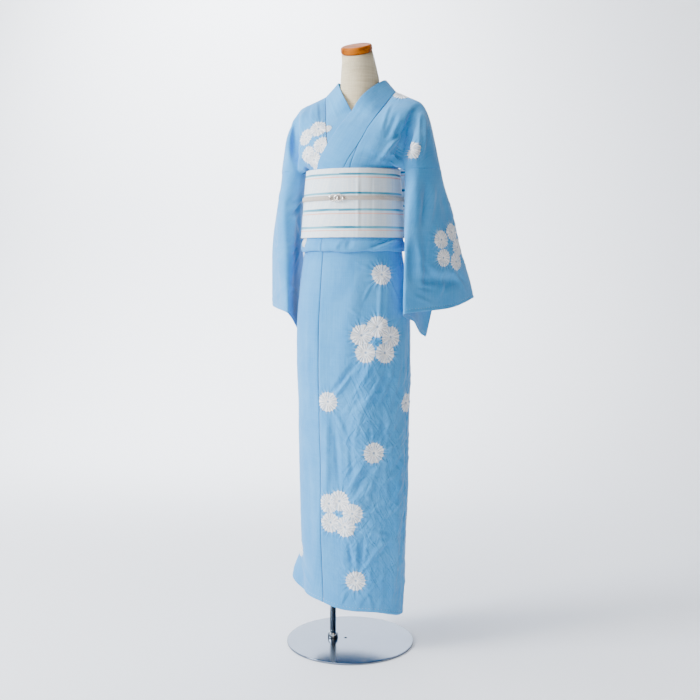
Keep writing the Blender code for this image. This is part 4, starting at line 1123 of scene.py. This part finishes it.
def neck_line(side, t, under):
    """Point t along the collar's seam or free edge, laid on the chest in front."""
    if side == "seam":
        points = [Vector((CENTRE_X + s.seam_x, s.seam_y, s.seam_z)) for s in NECK]
    else:
        points = [Vector((CENTRE_X + s.edge_x, s.edge_y, s.edge_z)) for s in NECK]
    point = along(points, t)
    laid = chest_point(point.x - CENTRE_X, point.z, under)
    point = point + Vector((0, 2.0 * under, 0))
    return laid.lerp(point, float(smooth(1.30, 1.37, point.z)))


def under_at(t, under):
    """Depth below the outer layer, fading out where the two sides part at the neck."""
    return under * (1 - float(smooth(3.6, 4.8, t)))


def collar_side(under, columns=8):
    rows = []
    for t in COLLAR_ROWS:
        depth = under_at(t, under)
        seam = neck_line("seam", t, depth)
        edge = neck_line("edge", t, depth)
        row = []
        for j in range(columns + 1):
            point = edge.lerp(seam, j / columns)
            laid = chest_point(point.x - CENTRE_X, point.z, depth)
            share = max(float(smooth(1.30, 1.37, point.z)), float(smooth(3.0, 3.8, t)))
            row.append(laid.lerp(point, share))
        rows.append(row)
    return rows


def collar():
    left = collar_side(0.0)
    right = [list(reversed(row)) for row in mirrored(collar_side(LAYER))]
    grid = fine(left + list(reversed(right[:-1])), 0.0026)
    piece = cloth("collar_cloth", grid, "collar", COTTON, creases=COLLAR_CREASES,
                  rosettes=COLLAR_ROSETTES, seed=11, rough=0.0003, edge=0.0002)


def gore(name, under, mirror, columns=6):
    gap = SEAM_GAP + 0.0003
    rows = []
    for t in [row for row in COLLAR_ROWS if row < APEX - 0.2]:
        start = neck_line("seam", t, under)
        first = start.x - CENTRE_X + gap
        last = float(read(GORE_SEAM, start.z, "x")) - gap
        rows.append([chest_point(first + (last - first) * j / columns, start.z, under)
                     for j in range(columns + 1)])
    grid = fine(mirrored(rows) if mirror else rows, 0.0024)
    piece = cloth(name + "_cloth", grid, name, COTTON, seed=13, rough=0.0003,
                  edge=0.0006)


def armhole(t):
    """Point t round the top section of the sleeve, which the armhole seam follows."""
    ring = [Vector((CENTRE_X + p[0], p[1], ARMHOLE_Z)) for p in SLEEVE[0][1:]]
    return along(ring, t, closed=True)


def waist_row(z, under, back, columns):
    inner = SEAM_GAP if back else float(read(GORE_SEAM, z, "x")) + SEAM_GAP
    half = float(read(CHEST, z, "half_width"))
    start = math.asin(inner / half)
    end = math.radians(89.3)
    turns = [start + (end - start) * j / columns for j in range(columns + 1)]
    return [chest_point(half * math.sin(turn), z, under, back) for turn in turns]


def between(low, high, share, under, back):
    """Row between two rows, laid on the chest near the middle and cut on the gore's seam."""
    row = []
    first = low[0].lerp(high[0], share)
    shift = 0.0 if back else CENTRE_X + float(read(GORE_SEAM, first.z, "x")) + SEAM_GAP - first.x
    for j, (start, end) in enumerate(zip(low, high)):
        point = start.lerp(end, share)
        point.x += shift * (1 - j / (len(low) - 1)) ** 2
        laid = chest_point(point.x - CENTRE_X, point.z, under, back)
        row.append(laid.lerp(point, float(smooth(0.35, 0.7, j / (len(low) - 1)))))
    return row


def body_rows(under, columns=12, steps=3):
    """Front, shoulder and back in one: under the belt, up, over the armhole and down."""
    heights = (1.066, 1.130, 1.188, 1.202, 1.208)
    front = [waist_row(z, under, False, columns) for z in heights]
    back = [waist_row(z, 0.0, True, columns) for z in reversed(heights)]
    lines = []
    for name in Drape._fields:
        spots = [getattr(row, name) for row in DRAPE]
        lines.append([Vector((CENTRE_X + spot.x, spot.y, spot.z)) for spot in spots])
    drape = []
    for i in range((len(DRAPE) - 1) * steps + 1):
        t = i / steps
        seam = neck_line("seam", APEX + t, under_at(APEX + t, under))
        inner = [along(line, t) for line in lines]
        if t < 2:
            inner[0] = inner[0] + Vector((0, under * (1 - t / 2), 0))
        lift = 1 - float(smooth(0.0, 0.8, t)) + float(smooth(4.2, 5.0, t))
        wing = armhole(t if t < 5 else 5 + 0.6 * (t - 5)) + Vector((0, 0, UNDERARM_LIFT * lift))
        start = seam + (inner[0] - seam).normalized() * (SEAM_GAP + 0.0003)
        line = [start] + inner + [wing]
        drape.append([along(line, 5 * j / columns) for j in range(columns + 1)])
    rise = [between(front[-1], drape[0], share, under, False) for share in (0.3, 0.65)]
    fall = [between(drape[-1], back[0], share, 0.0, True) for share in (0.35, 0.7)]
    return front + rise + drape + fall + back


def above_belt(points):
    return smooth(1.198, 1.212, points[:, 2])


def sagged(grid):
    """The blousing under each arm, down to the belt's top edge."""
    out = np.abs(grid[..., 0] - CENTRE_X)
    hang = smooth(0.112, 0.122, out) * smooth(0.165, 0.150, out)
    hang = hang * smooth(1.222, 1.207, grid[..., 2])
    grid[..., 2] -= 0.0062 * hang
    return grid


def body():
    for side, rows in (("left", body_rows(0.0)), ("right", mirrored(body_rows(LAYER)))):
        grid = sagged(fine(rows, 0.0030))
        piece = cloth("body_" + side + "_cloth", grid, "body_" + side, COTTON,
                      creases=CHEST_CREASES, rosettes=CHEST_ROSETTES, seed=17, rough=0.0005,
                      still=above_belt, edge=0.0007 if side == "left" else 0.0001)


COLLAR_ROSETTES = [Rosette(-0.041, -0.045, 1.298, 0.0105)]
COLLAR_CREASES = [
    Crease((0.043, -0.003, 1.374), (-0.005, -0.071, 1.267), 0.0050, 0.0006, 0.000),
    Crease((0.072, 0.016, 1.375), (0.027, -0.075, 1.260), 0.0060, 0.0005, 0.000),
    Crease((-0.068, 0.033, 1.386), (-0.012, -0.039, 1.309), 0.0040, 0.0005, 0.000),
]

body()
collar()
gore("upper_gore_left", 0.0, False)
gore("upper_gore_right", LAYER, True)


# Sleeves: wide hanging bags of the same cotton, open at the wrist side and behind.
# Each is sewn to the body all round the armhole and falls in one soft front fold.
SLEEVE_ROSETTES = [
    Rosette(0.232, 0.015, 1.028, 0.0215),
    Rosette(0.246, 0.054, 1.048, 0.0215),
    Rosette(0.257, 0.071, 1.010, 0.0210),
    Rosette(0.236, 0.020, 0.985, 0.0205),
    Rosette(0.257, 0.059, 0.974, 0.0205),
    Rosette(0.235, 0.125, 0.965, 0.0205),
    Rosette(0.222, 0.099, 1.105, 0.0205),
    Rosette(-0.196, 0.109, 1.025, 0.0215),
    Rosette(-0.232, 0.106, 1.027, 0.0215),
    Rosette(-0.245, 0.108, 0.991, 0.0215),
    Rosette(-0.216, 0.124, 0.968, 0.0215),
    Rosette(-0.186, 0.107, 0.989, 0.0215),
    Rosette(-0.170, 0.086, 1.135, 0.0205),
]
SLEEVE_CREASES = [
    Crease((-0.147, -0.028, 1.174), (-0.141, -0.058, 0.889), 0.0170, 0.0060, 0.000),
    Crease((-0.166, -0.050, 1.004), (-0.139, -0.004, 1.027), 0.0040, 0.0024, 0.000),
    Crease((-0.157, -0.057, 0.989), (-0.140, -0.001, 1.012), 0.0040, -0.0024, 0.000),
    Crease((-0.172, -0.043, 1.022), (-0.137, -0.014, 1.045), 0.0040, 0.0018, 0.000),
    Crease((-0.150, -0.062, 0.972), (-0.139, -0.005, 0.989), 0.0040, 0.0020, 0.000),
    Crease((-0.170, -0.040, 1.112), (-0.134, -0.009, 1.135), 0.0080, -0.0036, 0.000),
    Crease((-0.169, -0.044, 0.909), (-0.141, -0.013, 0.901), 0.0040, 0.0016, 0.000),
    Crease((0.175, -0.027, 1.179), (0.175, -0.046, 0.974), 0.0160, 0.0060, 0.000),
    Crease((0.182, -0.045, 0.933), (0.270, 0.090, 0.927), 0.0130, -0.0060, 0.000),
    Crease((0.196, -0.042, 0.974), (0.222, 0.000, 0.933), 0.0070, -0.0030, 0.000),
    Crease((0.237, 0.020, 0.959), (0.231, 0.016, 0.886), 0.0050, 0.0020, 0.000),
    Crease((0.251, 0.045, 0.949), (0.273, 0.099, 0.912), 0.0050, 0.0020, 0.000),
    Crease((0.185, -0.044, 0.914), (0.224, 0.004, 0.906), 0.0050, -0.0020, 0.000),
    Crease((0.213, 0.016, 1.162), (0.205, -0.023, 1.041), 0.0076, 0.0029, 0.002),
    Crease((0.202, -0.005, 1.166), (0.190, -0.040, 1.050), 0.0095, -0.0054, 0.002),
    Crease((0.179, -0.052, 1.031), (0.177, -0.052, 0.912), 0.0104, -0.0076, 0.000),
    Crease((0.194, -0.036, 1.003), (0.196, -0.031, 0.890), 0.0076, 0.0036, 0.000),
    Crease((0.242, 0.030, 0.935), (0.222, 0.003, 0.879), 0.0057, 0.0021, 0.000),
    Crease((0.251, 0.045, 0.954), (0.275, 0.102, 0.897), 0.0047, 0.0016, 0.000),
    Crease((0.181, -0.048, 0.893), (0.214, -0.007, 0.872), 0.0047, 0.0021, 0.000),
    Crease((0.223, 0.037, 1.149), (0.238, 0.042, 1.072), 0.0114, -0.0020, 0.000),
    Crease((-0.137, 0.026, 1.140), (-0.175, -0.033, 1.112), 0.0060, 0.0048, 0.000),
    Crease((-0.137, 0.011, 1.119), (-0.162, -0.052, 1.086), 0.0070, -0.0052, 0.000),
    Crease((-0.143, 0.018, 1.005), (-0.168, -0.046, 0.946), 0.0066, 0.0040, 0.000),
    Crease((-0.136, -0.016, 1.090), (-0.197, -0.012, 1.045), 0.0076, -0.0040, 0.000),
    Crease((-0.143, -0.061, 0.914), (-0.203, 0.000, 0.882), 0.0057, 0.0016, 0.000),
]


def sleeve_rows(bottoms, steps=8, row_count=18):
    rings = {}
    for level in SLEEVE:
        rings[level.z] = [Vector((CENTRE_X + p[0], p[1], level.z)) for p in level[1:]]
    heights = [level.z for level in SLEEVE]
    columns = []
    for j in range(6 * steps):
        t = j / steps
        line = [along(rings[h], t, closed=True) for h in heights]
        top = ARMHOLE_Z - SEAM_GAP - 0.0003
        bottom = float(read(bottoms, t, "z"))
        column = []
        for i in range(row_count + 1):
            z = bottom + (top - bottom) * i / row_count
            k = max(m for m in range(len(heights) - 1) if heights[m] >= z)
            share = k + (heights[k] - z) / (heights[k] - heights[k + 1])
            point = along(line, share)
            column.append(Vector((point.x, point.y, z)))
        columns.append(column)
    return [list(row) for row in zip(*columns)]


def with_lip(grid):
    """The sleeve's seam allowance, turned up inside the armhole."""
    inwards = -normals_of(grid, True)[-1]
    inwards[:, 2] = 0.0
    rows = [grid]
    for rise, inset in ((0.0010, 0.0012), (0.0030, 0.0022), (0.0060, 0.0026), (0.0090, 0.0030)):
        rows.append((grid[-1] + inwards * inset + np.array([0.0, 0.0, rise]))[None])
    return np.concatenate(rows)


def sleeves():
    for side, rows in (("left", sleeve_rows(SLEEVE_BOTTOM_LEFT)),
                       ("right", mirrored(sleeve_rows(SLEEVE_BOTTOM_RIGHT)))):
        grid = with_lip(fine(rows, 0.0030, closed=True))
        piece = cloth("sleeve_" + side + "_cloth", grid, "sleeve_" + side, COTTON,
                      closed=True, creases=SLEEVE_CREASES, rosettes=SLEEVE_ROSETTES, seed=23,
                      hem=0.008)


sleeves()


# Belt set: two turns of stiff white cloth with thin stripes, and the folded knot behind.
# Sheer ribbed weave; the stripes are woven in and swell unevenly along their length.
BeltLevel = namedtuple("BeltLevel", "z half_width half_depth")
BELT = [
    BeltLevel(1.033, 0.1335, 0.1050),
    BeltLevel(1.115, 0.1260, 0.1015),
    BeltLevel(1.197, 0.1185, 0.0985),
]
BELT_WALL = 0.0020
CARD_LOW, CARD_HIGH = 1.050, 1.210


def belt_ring(z, proud, columns=96):
    angles = 2 * np.pi * np.arange(columns) / columns
    half_width = read(BELT, z, "half_width") + proud
    half_depth = read(BELT, z, "half_depth") + proud
    return np.stack([CENTRE_X + half_width * np.sin(angles), -half_depth * np.cos(angles),
                     np.full(columns, z)], axis=-1)


def belt_material():
    made, tree, shader = new_material("belt_weave", 0.7, Sheen_Weight=0.3, Sheen_Roughness=0.4,
                                      Specular_IOR_Level=0.3)
    flat = add_node(tree, "ShaderNodeUVMap", uv_map="cloth").outputs[0]
    parts = add_node(tree, "ShaderNodeSeparateXYZ", {0: flat}).outputs
    height = calc(tree, "DIVIDE", parts[1], 0.1642)
    slow = add_node(tree, "ShaderNodeMapping", {"Vector": flat, "Scale": (7.0, 60.0, 1.0)})
    swell = speckle(tree, slow.outputs[0], 1.0, 3.0)
    rib = add_node(tree, "ShaderNodeMapping", {"Vector": flat, "Scale": (160.0, 3.0, 1.0)})
    ribs = speckle(tree, rib.outputs[0], 1.0, 2.0)
    weave = add_node(tree, "ShaderNodeMapping", {"Vector": flat, "Scale": (40.0, 600.0, 1.0)})
    weft = speckle(tree, weave.outputs[0], 1.0, 2.0)
    share = weighted(tree, ribs, 0.6, weft, 0.4)
    colour = mix(tree, ramp(tree, share, 0.35, 0.65), linear("#D8EAF8"), linear("#F0FAFF"))
    # Greyer band round the belt's right front: painted shade where the belt turns from the lamp,
    # and partly the greyer look of the doubled sheer cloth there
    shade_and_layer = calc(tree, "MULTIPLY", ramp(tree, parts[0], 0.0470, 0.0490),
                  ramp(tree, parts[0], 0.215, 0.205))
    colour = mix(tree, calc(tree, "MULTIPLY", shade_and_layer, 0.34), colour, linear("#AEBBC2"))
    for places, width, pale, deep in (
            ((0.870, 0.345), 0.0065, "#F3C3B4", "#E8A796"),
            ((0.100,), 0.0055, "#F3C3B4", "#EBB4A4"),
            ((0.914, 0.640, 0.400, 0.145), 0.0125, "#66B2CC", "#0F7897")):
        for number, place in enumerate(places):
            apart = calc(tree, "ABSOLUTE", calc(tree, "SUBTRACT", height, place))
            reach = calc(tree, "MULTIPLY_ADD", swell, width * 1.4, width * (0.55 + 0.07 * number))
            line = ramp(tree, calc(tree, "SUBTRACT", reach, apart), -0.0035, 0.0035)
            tint = mix(tree, ramp(tree, swell, 0.40, 0.62), linear(pale), linear(deep))
            colour = mix(tree, line, colour, tint)
    tree.links.new(colour, shader.inputs["Base Color"])
    relief = weighted(tree, ribs, 0.35, weft, 0.15)
    emboss(tree, shader, relief, 1.0, 0.001)
    return made


BELT_CLOTH = belt_material()
BELT_CREASES = [
    Crease((0.053, -0.091, 1.192), (0.056, -0.098, 1.038), 0.0040, 0.0016, 0.000),
    Crease((0.084, -0.076, 1.187), (0.087, -0.085, 1.038), 0.0025, -0.0007, 0.000),
    Crease((0.105, -0.058, 1.188), (0.109, -0.068, 1.038), 0.0025, -0.0007, 0.000),
    Crease((0.120, -0.035, 1.183), (0.125, -0.049, 1.039), 0.0030, 0.0006, 0.000),
    Crease((-0.016, -0.097, 1.193), (-0.016, -0.103, 1.039), 0.0050, 0.0004, 0.000),
]


def belt():
    heights = np.linspace(BELT[0].z, BELT[-1].z, 7)
    outer = fine([belt_ring(z, 0.0) for z in heights], 0.0030, closed=True)
    piece = cloth("belt_outer_cloth", outer, "belt_outer", BELT_CLOTH, closed=True,
                  wall=BELT_WALL, creases=BELT_CREASES, seed=31, rough=0.0002)
    rows = [belt_ring(z, -BELT_WALL - 0.0004) for z in heights]
    angle = np.degrees(2 * np.pi * np.arange(96) / 96)
    rows[-1][:, 2] += 0.0022 * smooth(30, 80, angle) * (1 - smooth(110, 150, angle))
    inner = fine(rows, 0.0050, closed=True)
    piece = cloth("belt_inner_cloth", inner, "belt_inner", BELT_CLOTH, closed=True,
                  wall=BELT_WALL, seed=32, rough=0.0)


def card_y(x):
    return float(read(BELT, CARD_LOW, "half_depth")) + 0.0003 + 0.006 + 0.0004 - 0.9 * x * x


def knot():
    """Folded card of the knot, and the strap round its middle."""
    rows = []
    for z in np.linspace(CARD_LOW, CARD_HIGH, 7):
        xs = 0.22 * (0.5 - np.arange(17) / 16)
        rows.append([(CENTRE_X + x, card_y(x), z) for x in xs])
    grid = fine(rows, 0.0035)
    piece = cloth("knot_card_cloth", grid, "knot_card", BELT_CLOTH, wall=0.006,
                  seed=33, rough=0.0002, edge=0.0)
    edge = piece.modifiers.new("edge", "BEVEL")
    edge.width = 0.002
    edge.segments = 3
    edge.angle_limit = math.radians(50)
    out = 0.0003 + 0.0025
    middle = (CARD_LOW + CARD_HIGH) / 2
    path = [(-0.004, CARD_LOW - out), (out * 0.5, CARD_LOW - out), (out, CARD_LOW + 0.001),
            (out, middle), (out, CARD_HIGH - 0.001), (out * 0.5, CARD_HIGH + out),
            (-0.004, CARD_HIGH + out)]
    rows = []
    for off, z in path:
        xs = 0.09 * (0.5 - np.arange(9) / 8)
        rows.append([(CENTRE_X + x, card_y(x) + off, z) for x in xs])
    grid = fine(rows, 0.0025)
    piece = cloth("knot_strap_cloth", grid, "knot_strap", BELT_CLOTH, wall=0.0025,
                  seed=34, rough=0.0001, edge=0.0003)


belt()
knot()


# Cord and ornament: a flat silk braid tied round the belt, and two linked metal loops.
# The braid is plaited flat; the loops are bent from round wire and polished.
CORD_Z, CORD_WIDTH, CORD_WALL = 1.1265, 0.011, 0.003


def braid_material():
    made, tree, shader = new_material("silk_braid", 0.6, Sheen_Weight=0.3, Specular_IOR_Level=0.4)
    flat = add_node(tree, "ShaderNodeUVMap", uv_map="cloth").outputs[0]
    parts = add_node(tree, "ShaderNodeSeparateXYZ", {0: flat}).outputs
    across = calc(tree, "ABSOLUTE", calc(tree, "SUBTRACT", parts[1], CORD_WIDTH / 2))
    strand = calc(tree, "SINE", calc(tree, "MULTIPLY", calc(tree, "ADD", parts[0], across), 2400.0))
    uneven = speckle(tree, flat, 60.0, 3.0)
    share = calc(tree, "ADD", calc(tree, "MULTIPLY", strand, 0.22),
                 calc(tree, "MULTIPLY_ADD", uneven, 0.6, 0.2))
    colour = mix(tree, ramp(tree, share, 0.2, 0.8), linear("#ADA39B"), linear("#CFC8C0"))
    middle = ramp(tree, across, 0.0014, 0.0007, 0.0, 0.35)
    colour = mix(tree, middle, colour, linear("#D9C9B4"))
    tree.links.new(colour, shader.inputs["Base Color"])
    emboss(tree, shader, strand, 0.8, 0.0004)
    return made


def cord():
    half_width = float(read(BELT, CORD_Z, "half_width")) + 0.0003 + 0.0005 + CORD_WALL
    front = float(read(BELT, CORD_Z, "half_depth")) + 0.0003 + 0.0005 + CORD_WALL
    back = card_y(0) + 0.0025 + 3 * 0.0003 + CORD_WALL
    rows = []
    for height in (-0.5, -0.25, 0.0, 0.25, 0.5):
        row = []
        for j in range(192):
            turn = 2 * math.pi * j / 192
            side, ahead = math.sin(turn), -math.cos(turn)
            power = 2.0 if ahead <= 0 else 2.0 + 3.0 * float(smooth(0.0, 0.5, ahead))
            size = (abs(side) ** power + abs(ahead) ** power) ** (-1 / power)
            inset = 0.0008 * (2 * height) ** 4
            depth = (front if ahead <= 0 else back) - inset
            row.append((CENTRE_X + (half_width - inset) * side * size, depth * ahead * size,
                        CORD_Z + height * CORD_WIDTH))
        rows.append(row)
    grid = fine(rows, 0.0015, closed=True)
    piece = cloth("belt_cord_braid", grid, "belt_cord", braid_material(), closed=True,
                  wall=CORD_WALL - 0.0008, seed=41, rough=0.00008)


def ornament():
    made, tree, shader = new_material("silvered_metal", 0.22, Metallic=0.85)
    place = add_node(tree, "ShaderNodeTexCoord").outputs["Object"]
    tarnish = speckle(tree, place, 160.0, 3.0)
    tree.links.new(mix(tree, ramp(tree, tarnish, 0.35, 0.7), linear("#E8E6E2"), linear("#C9BDB4")),
                   shader.inputs["Base Color"])
    tree.links.new(ramp(tree, tarnish, 0.3, 0.7, 0.16, 0.34), shader.inputs["Roughness"])
    front = float(read(BELT, CORD_Z, "half_depth")) + 0.0003 + 0.0005 + CORD_WALL
    verts, faces = [], []
    for number, side in enumerate((-1, 1)):
        start = len(verts)
        for i in range(64):
            turn = 2 * math.pi * i / 64
            lift = 0.0004 * math.sin(2 * turn + 1.5 * number)
            for j in range(12):
                tube = 2 * math.pi * j / 12
                reach = 0.0074 + 0.0017 * math.cos(tube)
                verts.append((CENTRE_X - 0.004 + 1.45 * reach * math.cos(turn) + side * 0.0068,
                              -front - 0.0023 + 0.0017 * math.sin(tube) + lift,
                              CORD_Z + reach * math.sin(turn)))
        for i in range(64):
            for j in range(12):
                a, b = start + i * 12 + j, start + ((i + 1) % 64) * 12 + j
                c, d = start + ((i + 1) % 64) * 12 + (j + 1) % 12, start + i * 12 + (j + 1) % 12
                faces.append((a, b, c, d))
    mesh = bpy.data.meshes.new("ornament_loops")
    mesh.from_pydata(verts, [], faces)
    mesh.shade_smooth()
    mesh.materials.append(made)
    piece = bpy.data.objects.new("ornament_loops", mesh)
    bpy.context.scene.collection.objects.link(piece)
    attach(piece, "root")
    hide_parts("cord_ornament")


cord()
ornament()
